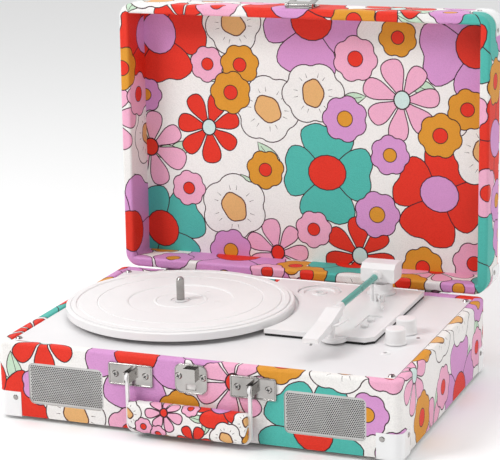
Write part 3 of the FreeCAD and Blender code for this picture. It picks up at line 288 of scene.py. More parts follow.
INK = srgb("3B1B25")
PAPER = srgb("F3F0ED")
RED_INK = srgb("E5301C")
TEAL_INK = srgb("4FB9AD")
LILAC_INK = srgb("D898CF")
PINK_INK = srgb("F1AFCB")
GOLD_INK = srgb("DE972B")
LEAF_INK = srgb("C6DFC6")
MINT_INK = srgb("D2E6E2")
TAN_INK = srgb("E7B273")
MAROON_INK = srgb("54231F")
LINE = 0.5


def smooth_loop(knots, steps=3):
    """Closed curve through knots (Catmull-Rom)."""
    loop = []
    count = len(knots)
    for i in range(count):
        a, b, c, d = (knots[(i + k) % count] for k in (-1, 0, 1, 2))
        for step in range(steps):
            t = step / steps
            loop.append(tuple(0.5 * (2 * q + (r - p) * t + (2 * p - 5 * q + 4 * r - s) * t * t
                                     + (3 * q - p - 3 * r + s) * t ** 3)
                              for p, q, r, s in zip(a, b, c, d)))
    return loop


def grown(loop, distance):
    """Loop moved outwards along its normals."""
    moved = []
    count = len(loop)
    for i, (x, y) in enumerate(loop):
        dx = loop[(i + 1) % count][0] - loop[i - 1][0]
        dy = loop[(i + 1) % count][1] - loop[i - 1][1]
        length = math.hypot(dx, dy) or 1.0
        moved.append((x + distance * dy / length, y - distance * dx / length))
    return moved


def laid(loop, u, v, size, turn, squash=1.0):
    """Unit loop scaled, turned and moved to its place on the print."""
    c, s = math.cos(turn) * size, math.sin(turn) * size
    return [(u + x * c - y * squash * s, v + x * s + y * squash * c) for x, y in loop]


def inked(loop, colour, line=LINE):
    return [(grown(loop, line), INK), (grown(loop, -line), colour)]


BROAD_PETAL = smooth_loop([(0.02, 0.0), (0.24, -0.2), (0.55, -0.44), (0.86, -0.45), (1.0, -0.2),
                           (0.96, 0.02), (1.02, 0.24), (0.85, 0.5), (0.5, 0.44), (0.2, 0.2)])
SLIM_PETAL = smooth_loop([(0.05, 0.0), (0.3, -0.09), (0.66, -0.2), (0.92, -0.17), (1.0, 0.0),
                          (0.92, 0.17), (0.66, 0.2), (0.3, 0.09)])
LEAF_SHAPE = ([(t / 8, -0.19 * math.sin(math.pi * (t / 8) ** 0.9)) for t in range(9)]
              + [(1 - t / 8, 0.21 * math.sin(math.pi * (1 - t / 8) ** 1.15)) for t in range(1, 8)])
DISC = [(math.cos(a * math.pi / 9), math.sin(a * math.pi / 9)) for a in range(18)]


def scallop(lobes, depth, power=0.5, points=7):
    count = lobes * points
    loop = []
    for i in range(count):
        a = 2 * math.pi * i / count
        r = 1 - depth + depth * abs(math.cos(lobes * a / 2)) ** power
        loop.append((r * math.cos(a), r * math.sin(a)))
    return loop


def ray(u, v, angle, start, end, width=0.35):
    """Thin ink stroke pointing away from a flower's middle."""
    c, s = math.cos(angle), math.sin(angle)
    ends = [(start, -width), (end, -width * 0.3), (end, width * 0.3), (start, width)]
    return [(u + x * c - y * s, v + x * s + y * c) for x, y in ends]


def big_flower(u, v, size, turn, petal, middle):
    shapes = []
    for k, stretch in enumerate((1.0, 0.93, 1.05, 0.96)):
        loop = laid(BROAD_PETAL, u, v, size * stretch, turn + k * math.pi / 2, 1.18)
        shapes += inked(loop, petal)
    return shapes + inked(laid(DISC, u, v, size * 0.37, turn, 1.12), middle)


def daisy(u, v, size, turn, petal, middle=MINT_INK, petals=7):
    shapes = []
    for k in range(petals):
        wide = 1.35 if k % 2 else 1.2
        angle = turn + 2 * math.pi * k / petals
        loop = laid(SLIM_PETAL, u, v, size * (1.0 if k % 3 else 0.92), angle, wide)
        shapes += inked(loop, petal)
    return shapes + inked(laid(DISC, u, v, size * 0.2, 0.0, 1.1), middle, LINE * 1.3)


def small_flower(u, v, size, turn, petal, middle):
    shapes = inked(laid(scallop(7, 0.2), u, v, size, turn), petal)
    for k in range(7):
        shapes.append((ray(u, v, turn + (2 * k + 1) * math.pi / 7, size * 0.84, size * 0.55), INK))
    return shapes + inked(laid(DISC, u, v, size * 0.34, 0.0), middle, LINE * 0.8)


def white_flower(u, v, size, turn):
    shapes = inked(laid(scallop(6, 0.17, 0.6, 9), u, v, size, turn, 0.94), PAPER)
    for k in range(6):
        angle = turn + (2 * k + 1) * math.pi / 6
        shapes.append((ray(u, v, angle, size * 0.83, size * 0.42), INK))
        for lean in (-0.2, 0.16):
            shapes.append((ray(u, v, angle + math.pi / 6 + lean, size * 0.5, size * 0.64, 0.3), INK))
    heart = laid(scallop(5, 0.1, 1.0, 5), u, v, size * 0.37, turn, 1.25)
    return shapes + [(heart, MAROON_INK), (grown(heart, -1.15), TAN_INK)]


def leaf(u, v, size, turn):
    loop = laid(LEAF_SHAPE, u, v, size, turn)
    vein = [laid([(0.0, 0.0)], u, v, size, turn)[0], laid([(0.45, 0.035)], u, v, size, turn)[0],
            laid([(0.86, 0.01)], u, v, size, turn)[0]]
    return inked(loop, LEAF_INK, LINE * 0.85) + [(stroke(vein, 0.28), INK)]


def stroke(path, half):
    """Thin band along a path."""
    left, right = [], []
    for i, (x, y) in enumerate(path):
        a, b = path[max(i - 1, 0)], path[min(i + 1, len(path) - 1)]
        dx, dy = b[0] - a[0], b[1] - a[1]
        length = math.hypot(dx, dy) or 1.0
        left.append((x - half * dy / length, y + half * dx / length))
        right.append((x + half * dy / length, y - half * dx / length))
    return right + left[::-1]


def bouquet(rows):
    """Shapes of a list of motifs: kind, u, v, size, turn in degrees, then its inks."""
    shapes = []
    for kind, u, v, size, turn, *inks in rows:
        shapes += kind(u, v, size, math.radians(turn), *inks)
    return shapes


# Kinds of motif laid over a region: sizes, number on a square of 100 mm, room taken, inks.
STREW = (
    (big_flower, (37, 46), 1.05, 0.78, ((TEAL_INK, RED_INK), (LILAC_INK, RED_INK), (RED_INK, LILAC_INK))),
    (daisy, (28, 34), 0.9, 0.8, ((RED_INK,), (PINK_INK, RED_INK), (PINK_INK,))),
    (white_flower, (25, 31), 0.8, 0.86, ((),)),
    (small_flower, (15, 20), 3.6, 0.84, ((GOLD_INK, RED_INK), (PINK_INK, RED_INK), (LILAC_INK, GOLD_INK))),
)
LEAF_SHARE = 3.2


def strewn(seed, u_low, u_high, v_low, v_high, scale=1.0):
    """Flowers spread evenly over a region, the large ones first, with leaves under them."""
    chance = random.Random(seed)
    squares = (u_high - u_low) * (v_high - v_low) / (100.0 * scale) ** 2
    flowers, taken = [], []
    for kind, sizes, share, room, inks in STREW:
        for number in range(max(1, round(share * squares))):
            size = chance.uniform(*sizes) * scale
            best, freest = None, -1e9
            for _ in range(40):
                u, v = chance.uniform(u_low, u_high), chance.uniform(v_low, v_high)
                free = min([math.hypot(u - x, v - y) - room * (size + r) for x, y, r in taken] or [0.0])
                if free > freest:
                    best, freest = (u, v), free
            if freest > -0.35 * size:
                taken.append((*best, size))
                flowers.append((kind, *best, size, chance.uniform(0, 90), *inks[(number + seed) % len(inks)]))
    leaves = []
    for _ in range(round(LEAF_SHARE * squares)):
        u, v = chance.uniform(u_low, u_high), chance.uniform(v_low, v_high)
        leaves.append((leaf, u, v, chance.uniform(26, 36) * scale, chance.uniform(0, 360)))
    return bouquet(leaves + flowers)


def covered(loop, points):
    """Which points a loop goes round, by winding number."""
    turns = np.zeros(len(points), int)
    x, y = points[:, 0], points[:, 1]
    for (ax, ay), (bx, by) in zip(loop, loop[1:] + loop[:1]):
        side = (bx - ax) * (y - ay) - (x - ax) * (by - ay)
        turns += ((ay <= y) & (by > y) & (side > 0)).astype(int)
        turns -= ((ay > y) & (by <= y) & (side < 0)).astype(int)
    return turns > 0


def printed(name, domain, shapes, surface, body, holes=(), seams=(), facing=True):
    """Cuts the motifs' outlines into a flat domain and lays the result on a surface."""
    u_low, u_high = min(p[0] for p in domain), max(p[0] for p in domain)
    v_low, v_high = min(p[1] for p in domain), max(p[1] for p in domain)
    shapes = [(loop, ink) for loop, ink in shapes
              if max(p[0] for p in loop) > u_low and min(p[0] for p in loop) < u_high
              and max(p[1] for p in loop) > v_low and min(p[1] for p in loop) < v_high]
    points, edges = [], []
    for loop in [domain] + list(holes) + [loop for loop, ink in shapes]:
        first, count = len(points), len(loop)
        points += [Vector(p) for p in loop]
        edges += [(first + k, first + (k + 1) % count) for k in range(count)]
    for a, b in seams:
        edges.append((len(points), len(points) + 1))
        points += [Vector(a), Vector(b)]
    flat, _, faces, _, _, _ = delaunay_2d_cdt(points, edges, [], 0, 1e-5, False)
    corners = np.array([tuple(p) for p in flat])
    faces = np.array([tuple(face) for face in faces])
    middles = corners[faces].mean(axis=1)
    inside = covered(domain, middles)
    for hole in holes:
        inside &= ~covered(hole, middles)
    faces, middles = faces[inside], middles[inside]
    inks = np.tile(np.array(PAPER), (len(faces), 1))
    order = np.argsort(middles[:, 0])
    across = middles[order, 0]
    for loop, ink in shapes:
        low = np.searchsorted(across, min(p[0] for p in loop))
        high = np.searchsorted(across, max(p[0] for p in loop))
        near = order[low:high]
        loop_low, loop_high = min(p[1] for p in loop), max(p[1] for p in loop)
        near = near[(middles[near, 1] > loop_low) & (middles[near, 1] < loop_high)]
        inks[near[covered(loop, middles[near])]] = ink
    used = np.unique(faces)
    index = np.zeros(len(corners), int)
    index[used] = np.arange(len(used))
    step = 0.02
    places, normals = [], []
    for u, v in corners[used]:
        along_u = Vector(surface(u + step, v)) - Vector(surface(u - step, v))
        along_v = Vector(surface(u, v + step)) - Vector(surface(u, v - step))
        places.append(Vector(surface(u, v)))
        normals.append(along_u.cross(along_v).normalized() * (1 if facing else -1))
    faces = index[faces] if facing else index[faces][:, ::-1]
    return piece(name, places, faces.tolist(), body, PRINT, smooth=True,
                 colours=[tuple(ink) for ink in inks], normals=normals)


def rounded_rectangle(half_u, half_v, radius, u=0.0, v=0.0, steps=6):
    loop = []
    for cu, cv, start in ((1, 1, 0), (-1, 1, 90), (-1, -1, 180), (1, -1, 270)):
        for k in range(steps + 1):
            a = math.radians(start + 90 * k / steps)
            loop.append((u + cu * (half_u - radius) + radius * math.cos(a),
                         v + cv * (half_v - radius) + radius * math.sin(a)))
    return loop


# ---- walls: one band round the outside, over the soft rim and down the inside -------------------

ROUND = 2.5
ARC = ROUND * math.pi / 2
FLAT_RIM = BOARD - 2 * ROUND


class Band:
    """Maps print lengths along a wall ring: s round the case, v up the outside and over the rim."""

    def __init__(self, corner, outer_height, inner_height):
        self.corner = corner
        self.outer_height = outer_height
        self.inner_height = inner_height
        self.run_x, self.run_y = CASE_W - 2 * corner, CASE_D - 2 * corner
        self.bend = corner * math.pi / 2
        self.length = 2 * (self.run_x + self.run_y + 2 * self.bend)
        self.height = outer_height - ROUND + 2 * ARC + FLAT_RIM + inner_height - ROUND

    def around(self, s):
        """Outer point, inner point and outward direction at a length from the middle of the front."""
        s = (s + self.run_x / 2) % self.length
        turn = 0.0
        for run, span in ((self.run_x, self.run_y), (self.run_y, self.run_x)) * 2:
            if s <= run:
                outer = (s - run / 2, -span / 2 - self.corner)
                limit = run / 2 + self.corner - BOARD
                inner = (max(-limit, min(limit, outer[0])), outer[1] + BOARD)
                out = (0.0, -1.0)
                break
            s -= run
            if s <= self.bend:
                a = s / self.corner
                out = (math.sin(a), -math.cos(a))
                outer = (run / 2 + self.corner * out[0], -span / 2 - self.corner * math.cos(a))
                far = (run / 2 + self.corner - BOARD, -span / 2 - self.corner + BOARD)
                slack = max(0.0, self.corner - BOARD)
                part = 2 * s / self.bend
                inner = (far[0] - slack * max(0.0, 1 - part), far[1] + slack * max(0.0, part - 1))
                break
            s -= self.bend
            turn += math.pi / 2
        c, n = math.cos(turn), math.sin(turn)
        swing = lambda p: Vector((p[0] * c - p[1] * n, p[0] * n + p[1] * c))
        return swing(outer), swing(inner), swing(out)

    def place(self, s, v, bottom, up=1.0):
        """Point of the band, its outer wall starting at the height `bottom`."""
        outer, inner, out = self.around(s)
        reach = (inner - outer).length
        inward = (inner - outer) / reach
        top = bottom + up * self.outer_height
        wall = self.outer_height - ROUND
        if v <= wall:
            a, drop = 0.0, self.outer_height - v
        elif v <= wall + ARC:
            angle = (v - wall) / ROUND
            a, drop = ROUND * (1 - math.cos(angle)), ROUND * (1 - math.sin(angle))
        elif v <= wall + ARC + FLAT_RIM:
            a, drop = ROUND + (v - wall - ARC) / FLAT_RIM * (reach - 2 * ROUND), 0.0
        elif v <= wall + 2 * ARC + FLAT_RIM:
            angle = (v - wall - ARC - FLAT_RIM) / ROUND
            a, drop = reach - ROUND * (1 - math.sin(angle)), ROUND * (1 - math.cos(angle))
        else:
            a, drop = reach, v - wall - 2 * ARC - FLAT_RIM + ROUND
        share = a / reach
        lift = SKIN if drop < ROUND else 0.0
        offset = SKIN * (1 - share) - SKIN * share
        at = outer + inward * a + out * offset
        return Vector((at.x, at.y, top - up * drop + up * lift * (1 - drop / ROUND)))

    def domain(self):
        half = self.length / 2 - 0.001
        return [(-half, 0.0), (half, 0.0), (half, self.height), (-half, self.height)]

    def seams(self):
        lines = []
        wall = self.outer_height - ROUND
        half = self.length / 2
        for start in (wall, wall + ARC + FLAT_RIM):
            for k in range(5):
                lines.append(((-half, start + k * ARC / 4), (half, start + k * ARC / 4)))
        s = -self.length
        for run in (self.run_x, self.run_y) * 5:
            for k in range(7):
                at = s + run / 2 + k * self.bend / 6
                lines.append(((at, -1.0), (at, self.height + 1.0)))
            s += run / 2 + self.bend + (self.run_y if run == self.run_x else self.run_x) / 2
        return [line for line in lines if line[0][0] != line[1][0] or abs(line[0][0]) < half - 0.01]


PRINT_SCALE = 1.15
OVERRUN = 8
base_band = Band(7.0, RIM_Z - FLOOR_Z, RIM_Z - DECK_Z + ROUND)
grilles = [rounded_rectangle(34.5, 18.0, 5.0, sign * GRILLE_X, GRILLE_UP) for sign in (-1, 1)]
base_shapes = strewn(7, -base_band.length / 2, base_band.length / 2, -OVERRUN, base_band.height + OVERRUN,
                     PRINT_SCALE)
printed("base_print", base_band.domain(), base_shapes, lambda s, v: base_band.place(s, v, FLOOR_Z), "base",
        holes=grilles, seams=base_band.seams())

lid_band = Band(13.0, LID_CEILING_Z - LID_RIM_Z, LID_CEILING_Z - LID_RIM_Z)
lid_shapes = strewn(12, -lid_band.length / 2, lid_band.length / 2, -OVERRUN, lid_band.height + OVERRUN,
                    PRINT_SCALE)
printed("lid_wall_print", lid_band.domain(), lid_shapes,
        lambda s, v: opened(lid_band.place(s, v, LID_CEILING_Z, -1.0)), "lid",
        seams=lid_band.seams(), facing=False)

LINING_U, LINING_V = CASE_W / 2 - BOARD, CASE_D - 2 * BOARD


def lining_surface(u, v):
    """Inside of the lid's panel, v running from the hinges to the latch."""
    return opened(Vector((u, CASE_D / 2 - BOARD - v, LID_CEILING_Z - SKIN)))


printed("lid_lining_print", [(-LINING_U, 0), (LINING_U, 0), (LINING_U, LINING_V), (-LINING_U, LINING_V)],
        strewn(3, -LINING_U, LINING_U, 0, LINING_V, PRINT_SCALE), lining_surface, "lid")

EDGE = 3.0
CORE_U, CORE_V, CORE_R = CASE_W / 2 - EDGE, CASE_D / 2 - EDGE, 10.0
WRAP = EDGE * math.pi / 2 + 1.0


def lid_top_surface(u, v):
    """Outer panel: flat in the middle, rolled over its soft edge."""
    cu = max(-CORE_U + CORE_R, min(CORE_U - CORE_R, u))
    cv = max(-CORE_V + CORE_R, min(CORE_V - CORE_R, v))
    away = Vector((u - cu, v - cv))
    beyond = away.length - CORE_R
    if beyond <= 0:
        return opened(Vector((u, v, LID_TOP_Z + SKIN)))
    out = away.normalized()
    edge = Vector((cu, cv)) + out * CORE_R
    radius = EDGE + SKIN
    angle = min(beyond / EDGE, math.pi / 2)
    straight = max(0.0, beyond - EDGE * math.pi / 2)
    at = edge + out * radius * math.sin(angle)
    return opened(Vector((at.x, at.y, LID_TOP_Z - EDGE + radius * math.cos(angle) - straight)))


rings = [rounded_rectangle(CORE_U + q, CORE_V + q, CORE_R + q, steps=8) for q in (0.0, 1.2, 2.4, 3.6, 4.7)]
ring_seams = [(ring[i], ring[(i + 1) % len(ring)]) for ring in rings for i in range(len(ring))]
printed("lid_top_print", rounded_rectangle(CORE_U + WRAP, CORE_V + WRAP, CORE_R + WRAP, steps=8),
        strewn(21, -184, 184, -132, 132, PRINT_SCALE), lid_top_surface, "lid", seams=ring_seams)

# ---- handle grip --------------------------------------------------------------------------------

GRIP_LOW, GRIP_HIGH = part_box("handle_grip")
GRIP_HALF = GRIP_HIGH.x * 1000 - 0.05
GRIP_DEEP = (GRIP_HIGH.y - GRIP_LOW.y) * 500
GRIP_TALL = (GRIP_HIGH.z - GRIP_LOW.z) * 500
GRIP_Y = (GRIP_HIGH.y + GRIP_LOW.y) * 500 - CASE_Y
GRIP_Z = (GRIP_HIGH.z + GRIP_LOW.z) * 500
GRIP_ROUND = 5.2


def section_point(half_a, half_b, corner, distance):
    """Point and direction on a rounded rectangle, from the middle of its low side, anticlockwise."""
    runs = [(2 * (half_a - corner)), (2 * (half_b - corner))] * 2
    bend = corner * math.pi / 2
    distance = (distance + half_a - corner) % (sum(runs) + 4 * bend)
    turn = 0.0
    a, b = -(half_a - corner), -half_b
    for run in runs:
        c, s = math.cos(turn), math.sin(turn)
        if distance <= run:
            return a + c * distance, b + s * distance
        a, b, distance = a + c * run, b + s * run, distance - run
        if distance <= bend:
            angle = distance / corner
            return (a + corner * (c * math.sin(angle) - s * (1 - math.cos(angle))),
                    b + corner * (s * math.sin(angle) + c * (1 - math.cos(angle))))
        a, b = a + corner * (c - s), b + corner * (s + c)
        distance -= bend
        turn += math.pi / 2
    return a, b


GRIP_BEND, GRIP_EDGE = 7.0, 2.0
GRIP_CORE = GRIP_HALF - GRIP_EDGE
GRIP_HALF_DEEP = GRIP_DEEP - 0.35
GRIP_REACH = GRIP_CORE + GRIP_EDGE * math.pi / 2 + GRIP_HALF_DEEP - GRIP_EDGE - 0.05


def grip_surface(u, v):
    """Handle grip: u along the case and over the ends, v round the section from low on the front."""
    travel = max(0.0, abs(u) - GRIP_CORE)
    angle = min(travel / GRIP_EDGE, math.pi / 2)
    inset = GRIP_EDGE * (1 - math.cos(angle)) + max(0.0, travel - GRIP_EDGE * math.pi / 2)
    x = min(abs(u), GRIP_CORE) + GRIP_EDGE * math.sin(angle)
    swell = 0.2 * math.cos(x / GRIP_HALF * math.pi / 2)
    half_tall, half_deep = GRIP_TALL - 0.35 + swell, GRIP_HALF_DEEP + swell
    a, b = section_point(half_tall, half_deep, GRIP_ROUND, v)
    a, b = a * (1 - inset / half_tall), b * (1 - inset / half_deep)
    bend = max(0.0, x - GRIP_HALF + GRIP_BEND)
    rise = GRIP_BEND - math.sqrt(max(0.0, GRIP_BEND ** 2 - bend ** 2))
    a = GRIP_TALL - (GRIP_TALL - a) * (1 - rise / (2 * GRIP_TALL))
    return Vector((math.copysign(x, u), GRIP_Y + b, GRIP_Z + a))


GRIP_ROUNDTRIP = 4 * (GRIP_TALL + GRIP_DEEP) - (8 - 2 * math.pi) * GRIP_ROUND - 2.8
bend_lines = [GRIP_TALL - GRIP_ROUND + k * GRIP_ROUND * math.pi / 8 for k in range(5)]
bend_lines += [2 * (GRIP_TALL + GRIP_DEEP) - (4 - math.pi) * GRIP_ROUND - b for b in bend_lines]
bend_lines = [b + k * GRIP_ROUNDTRIP / 2 for b in bend_lines for k in (-1, 0, 1)]
end_lines = [GRIP_CORE - 5 + k for k in range(5)]
end_lines += [GRIP_CORE + GRIP_EDGE * math.pi * k / 8 for k in range(5)]
cross_lines = list(range(-40, 41, 8)) + [i * x for x in end_lines for i in (-1, 1)]
grip_seams = [((-80, b), (80, b)) for b in bend_lines] + [((x, -60), (x, 60)) for x in cross_lines]
half_way = GRIP_ROUNDTRIP / 2 - 0.001
grip_domain = [(-GRIP_REACH, -half_way), (GRIP_REACH, -half_way),
               (GRIP_REACH, half_way), (-GRIP_REACH, half_way)]
grip_shapes = strewn(5, -GRIP_REACH, GRIP_REACH, -half_way, half_way, 0.5)
grip = printed("handle_grip_print", grip_domain, grip_shapes, grip_surface, "handle", seams=grip_seams)
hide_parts("handle_grip")

# ---- speaker grilles ----------------------------------------------------------------------------

HOLE_PITCH, HOLE_RADIUS = 1.75, 0.66
ROW_STEP = HOLE_PITCH * 0.866
SHEET_CORNER = 4.8


def grille(side):
    """Perforated sheet over black cloth."""
    low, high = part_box("speaker_grille_" + side)
    middle_x, middle_z = (low.x + high.x) * 500, (low.z + high.z) * 500
    half_w, half_h = (high.x - low.x) * 500, (high.z - low.z) * 500
    front, rear = low.y * 1000 - CASE_Y, high.y * 1000 - CASE_Y
    edge = rounded_rectangle(half_w, half_h, SHEET_CORNER)
    points = [Vector(p) for p in edge]
    lines = [(k, (k + 1) % len(edge)) for k in range(len(edge))]
    rims = []
    rows = int(half_h / ROW_STEP) - 1
    for r in range(-rows, rows + 1):
        v = r * ROW_STEP
        for k in range(-21, 22):
            u = (k + 0.5 * (r % 2)) * HOLE_PITCH
            near = max(abs(u) - (half_w - SHEET_CORNER), 0.0), max(abs(v) - (half_h - SHEET_CORNER), 0.0)
            if abs(u) > half_w - 1.1 or abs(v) > half_h - 1.1 or math.hypot(*near) > 3.9:
                continue
            ring = [(u + HOLE_RADIUS * math.cos(a * math.pi / 4), v + HOLE_RADIUS * math.sin(a * math.pi / 4))
                    for a in range(8)]
            first = len(points)
            points += [Vector(p) for p in ring]
            lines += [(first + k, first + (k + 1) % 8) for k in range(8)]
            rims.append((u, v, first))
    flat, _, faces, _, _, _ = delaunay_2d_cdt(points, lines, [], 0, 1e-6, False)
    corners = np.array([tuple(p) for p in flat])
    faces = np.array([tuple(face) for face in faces])
    middles = corners[faces].mean(axis=1)
    centres = np.array([(u, v) for u, v, _ in rims])
    gap = np.array([np.min((centres[:, 0] - x) ** 2 + (centres[:, 1] - y) ** 2) for x, y in middles])
    keep = (gap > (0.9 * HOLE_RADIUS) ** 2) & covered(edge, middles)
    faces = [tuple(int(k) for k in face) for face in faces[keep]]
    count = len(corners)
    places = [(middle_x + x, front, middle_z + y) for x, y in corners]
    places += [(middle_x + x, front + 0.45, middle_z + y) for x, y in corners]
    for u, v, first in rims:
        faces += [(first + k, first + (k + 1) % 8, count + first + (k + 1) % 8, count + first + k)
                  for k in range(8)]
    faces += [(k, count + k, count + (k + 1) % len(edge), (k + 1) % len(edge)) for k in range(len(edge))]
    sheet = piece("grille_mesh_" + side, places, faces, "base", MESH)
    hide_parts("speaker_grille_" + side)
    backing = rounded_rectangle(half_w - 0.3, half_h - 0.3, SHEET_CORNER - 0.3)
    cloth = [(middle_x + x, rear - 0.2, middle_z + y) for x, y in backing]
    piece("grille_cloth_" + side, cloth, [tuple(range(len(cloth)))], "base", CLOTH)


for side in ("left", "right"):
    grille(side)

# ---- platter mat, turned from a finer profile ---------------------------------------------------


def lathe(name, profile, middle, body, material, steps=128):
    """Smooth turned piece from (radius, height) corners, sharp where they are doubled."""
    points, faces = [], []
    for r, z in profile:
        for k in range(steps):
            a = 2 * math.pi * k / steps
            points.append((middle[0] + r * math.cos(a), middle[1] + r * math.sin(a), z))
    for i in range(len(profile) - 1):
        if profile[i] == profile[i + 1]:
            continue
        for k in range(steps):
            a, b = i * steps + k, i * steps + (k + 1) % steps
            faces.append((a, b, b + steps, a + steps))
    return piece(name, points, faces, body, material, smooth=True)


def crisp(profile):
    """Profile with every corner doubled, so that its flats stay flat when shaded smooth."""
    doubled = []
    for corner in profile:
        doubled += [corner, corner]
    return doubled[1:-1]


MAT_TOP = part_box("platter_mat")[1].z * 1000
MAT_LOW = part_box("platter_mat")[0].z * 1000
mat_profile = [
    (9.0, MAT_LOW), (9.0, MAT_TOP - 1.0), (21.0, MAT_TOP - 1.0), (22.0, MAT_TOP - 0.4), (23.0, MAT_TOP - 0.4),
    (24.0, MAT_TOP - 1.0), (45.6, MAT_TOP - 1.0), (46.6, MAT_TOP - 0.2), (48.0, MAT_TOP), (72.0, MAT_TOP),
    (72.4, MAT_TOP - 0.5), (73.2, MAT_TOP - 0.5), (73.6, MAT_TOP), (88.4, MAT_TOP), (89.2, MAT_TOP - 0.9),
    (91.2, MAT_TOP - 0.9), (92.0, MAT_TOP), (95.6, MAT_TOP), (96.3, MAT_TOP - 0.5), (96.4, MAT_LOW + 0.01),
    (9.0, MAT_LOW + 0.01),
]
mat = lathe("platter_mat_rings", crisp(mat_profile), PLATTER, "platter", MAT_WHITE)
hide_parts("platter_mat")
marks, mark_faces = [], []
for k in range(12):
    a = math.radians(30 * k + 8)
    start, end, half = (62.0, 69.0, 0.35) if k % 2 else (30.0, 36.0, 0.3)
    height = MAT_TOP + 0.15 if k % 2 else MAT_TOP - 0.85
    first = len(marks)
    for r, side in ((start, -half), (end, -half), (end, half), (start, half)):
        marks.append((PLATTER.x + r * math.cos(a) - side * math.sin(a),
                      PLATTER.y + r * math.sin(a) + side * math.cos(a), height))
        marks.append((marks[-1][0], marks[-1][1], height - 0.3))
    mark_faces += [(first, first + 2, first + 4, first + 6)]
    mark_faces += [(first + 2 * n, first + 2 * n + 1, first + (2 * n + 3) % 8, first + (2 * n + 2) % 8)
                   for n in range(4)]
piece("platter_mat_ticks", marks, mark_faces, "platter", MAT_WHITE)

# ---- painted shadow: black strip in the gap under the mechanism plate, black in the headphone jack's bore ---

edge_path = [(31.0, -39.6), (119.2, -39.6), (126.1, -32.7), (126.1, 109.6), (-9.6, 109.6)]
gap_points = [(x, y, z) for x, y in edge_path for z in (DECK_Z + 0.05, DECK_Z + 2.15)]
gap_faces = [(2 * k, 2 * k + 2, 2 * k + 3, 2 * k + 1) for k in range(len(edge_path) - 1)]
piece("plate_shadow_gap", gap_points, gap_faces, "base", SHADOW)
# painted shade: a black disc down the headphone jack's bore
bore = [(KNOB_X + 1.75 * math.cos(a * math.pi / 12), JACK_Y + 1.75 * math.sin(a * math.pi / 12), DECK_Z - 3)
        for a in range(24)]
piece("headphone_bore_shade", bore, [tuple(range(24))], "base", SHADOW)

# ---- painted shade: dark crosses on the screw heads where the slots' shade would be -------------


def cross_slots(name, spots, body, place=lambda p: p):
    """Flat dark crosses on screw heads, painted shade in place of the slot recesses: (middle, outward
    direction, radius, turn).
    """
    points, faces = [], []
    for at, out, radius, turn in spots:
        at, out = Vector(at), Vector(out)
        side = out.orthogonal().normalized()
        lift = out.cross(side)
        for k in range(2):
            a = math.radians(turn + 90 * k)
            long = side * math.cos(a) + lift * math.sin(a)
            wide = out.cross(long)
            first = len(points)
            for m, n in ((-1, -0.22), (0, -0.3), (1, -0.22), (1, 0.22), (0, 0.3), (-1, 0.22)):
                points.append(place(at + long * m * radius + wide * n * radius + out * 0.04))
            faces.append(tuple(range(first, first + 6)))
    return piece(name, points, faces, body, SLOT_SHADE)


HEAD = 1.3
FACE_Y = -CASE_D / 2 - 1.2 - HEAD
BACK_Y = CASE_D / 2 + 1.2 + HEAD
SLOT = 1.6
PAIR = (-1, 1)
UP, FORWARD, BACKWARD = (0, 0, 1), (0, -1, 0), (0, 1, 0)
screws = [((i * 165, j * 110, DECK_Z + HEAD), UP, SLOT, 20 * i + 35 * j) for i in PAIR for j in PAIR]
screws += [((i * HANDLE_X + j * 13.5, FACE_Y, BRACKET_Z), FORWARD, SLOT, 30 * i + 25 * j)
           for i in PAIR for j in PAIR]
screws += [((i * 10.7, FACE_Y, 55), FORWARD, SLOT, 20 * i) for i in PAIR]
screws += [((i * HINGE_X + j * 9, BACK_Y, 50), BACKWARD, SLOT, 15 * j + 10 * i) for i in PAIR for j in PAIR]
screws += [((60 + i * 47, BACK_Y, 34), BACKWARD, SLOT, 20) for i in PAIR]
cross_slots("base_screw_slot_shade", screws, "base")
lid_screws = [((i * 9, FACE_Y, 88), FORWARD, SLOT, 25 * i) for i in PAIR]
lid_screws += [((i * HINGE_X + j * 9, BACK_Y, 86), BACKWARD, SLOT, 15 * j) for i in PAIR for j in PAIR]
cross_slots("lid_screw_slot_shade", lid_screws, "lid", opened)

# ---- pressed rims round the brackets and the latch plate -----------------------------------------


def beading(name, middle, half_w, half_h, corner, radius):
    """Half-round rim pressed round the border of a front plate."""
    inset = radius + 0.05
    path = rounded_rectangle(half_w - inset, half_h - inset, corner - inset)
    points, faces, count, arc = [], [], len(path), 7
    for i, (x, z) in enumerate(path):
        dx, dz = path[(i + 1) % count][0] - path[i - 1][0], path[(i + 1) % count][1] - path[i - 1][1]
        length = math.hypot(dx, dz)
        for k in range(arc):
            angle = math.pi * k / (arc - 1)
            out = radius * math.cos(angle)
            points.append((middle[0] + x + out * dz / length, -CASE_D / 2 - 1.15 - radius * math.sin(angle),
                           middle[1] + z - out * dx / length))
    for i in range(count):
        for k in range(arc - 1):
            a, b = i * arc + k, (i + 1) % count * arc + k
            faces.append((a, a + 1, b + 1, b))
    piece(name, points, faces, "base", CHROME, smooth=True)


for side, sign in (("left", -1), ("right", 1)):
    beading("bracket_rim_" + side, (HANDLE_X * sign, BRACKET_Z), 20.0, 9.5, 2.0, 0.8)
beading("latch_rim", (0, LATCH_Z), 14.25, 12.5, 6.0, 0.5)

# ---- floor, light and camera --------------------------------------------------------------------

floor_mesh = bpy.data.meshes.new("floor")
floor_mesh.from_pydata([(-6, -6, 0), (6, -6, 0), (6, 6, 0), (-6, 6, 0)], [], [(0, 1, 2, 3)])
floor_nodes = Nodes("studio_floor")
floor_nodes.set(Base_Color=srgb("FAFAFA"), Roughness=0.9)
floor_mesh.materials.append(floor_nodes.material)
floor = bpy.data.objects.new("floor", floor_mesh)
bpy.context.scene.collection.objects.link(floor)

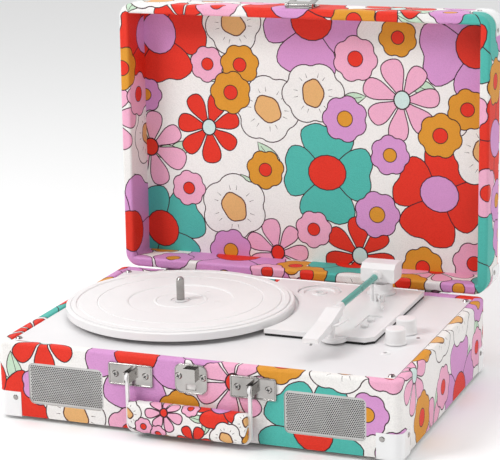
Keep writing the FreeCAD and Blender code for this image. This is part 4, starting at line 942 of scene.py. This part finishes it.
world = bpy.data.worlds.new("studio")
world.use_nodes = True
sky = world.node_tree
direction = sky.nodes.new("ShaderNodeSeparateXYZ")
sky.links.new(sky.nodes.new("ShaderNodeTexCoord").outputs["Generated"], direction.inputs[0])
fade = sky.nodes.new("ShaderNodeMapRange")
fade.inputs["From Min"].default_value, fade.inputs["From Max"].default_value = -0.55, 0.25
fade.inputs["To Min"].default_value, fade.inputs["To Max"].default_value = 0.2, 1.0
sky.links.new(direction.outputs["Y"], fade.inputs["Value"])
sky.links.new(fade.outputs[0], sky.nodes["Background"].inputs["Strength"])
sky.nodes["Background"].inputs["Color"].default_value = (1.0, 1.0, 1.0, 1.0)
bpy.context.scene.world = world
bpy.context.scene.view_settings.view_transform = "Standard"


def soft_light(name, place, target, width, height, watts):
    lamp = bpy.data.lights.new(name, "AREA")
    lamp.shape = "RECTANGLE"
    lamp.size, lamp.size_y, lamp.energy = width, height, watts
    item = bpy.data.objects.new(name, lamp)
    item.location = place
    item.rotation_euler = (Vector(target) - Vector(place)).to_track_quat("-Z", "Y").to_euler()
    bpy.context.scene.collection.objects.link(item)


soft_light("key", (-1.1, -1.2, 1.5), (0, 0, 0.12), 0.8, 0.8, 26)
soft_light("fill", (1.5, -1.8, 0.9), (0, 0, 0.12), 1.4, 1.2, 8)
soft_light("top", (0.2, 0.0, 1.9), (0, 0, 0.1), 1.4, 1.4, 7)

YAW, PITCH, ROLL = math.radians(21.67), math.radians(14.07), math.radians(-1.18)
back = Vector((math.sin(YAW) * math.cos(PITCH), -math.cos(YAW) * math.cos(PITCH), math.sin(PITCH)))
right = Vector((math.cos(YAW), math.sin(YAW), 0))
up = back.cross(right)
axis_x = right * math.cos(ROLL) + up * math.sin(ROLL)
axis_y = up * math.cos(ROLL) - right * math.sin(ROLL)
lens = bpy.data.cameras.new("camera")
lens.lens, lens.sensor_width = 139.76, 36.0
lens.shift_x, lens.shift_y = -0.0036, -0.0076
lens.clip_end = 20.0
camera = bpy.data.objects.new("camera", lens)
camera.matrix_world = (Matrix.Translation((0.601, -1.5172, 0.5549))
                       @ Matrix((axis_x, axis_y, back)).transposed().to_4x4())
bpy.context.scene.collection.objects.link(camera)
bpy.context.scene.camera = camera
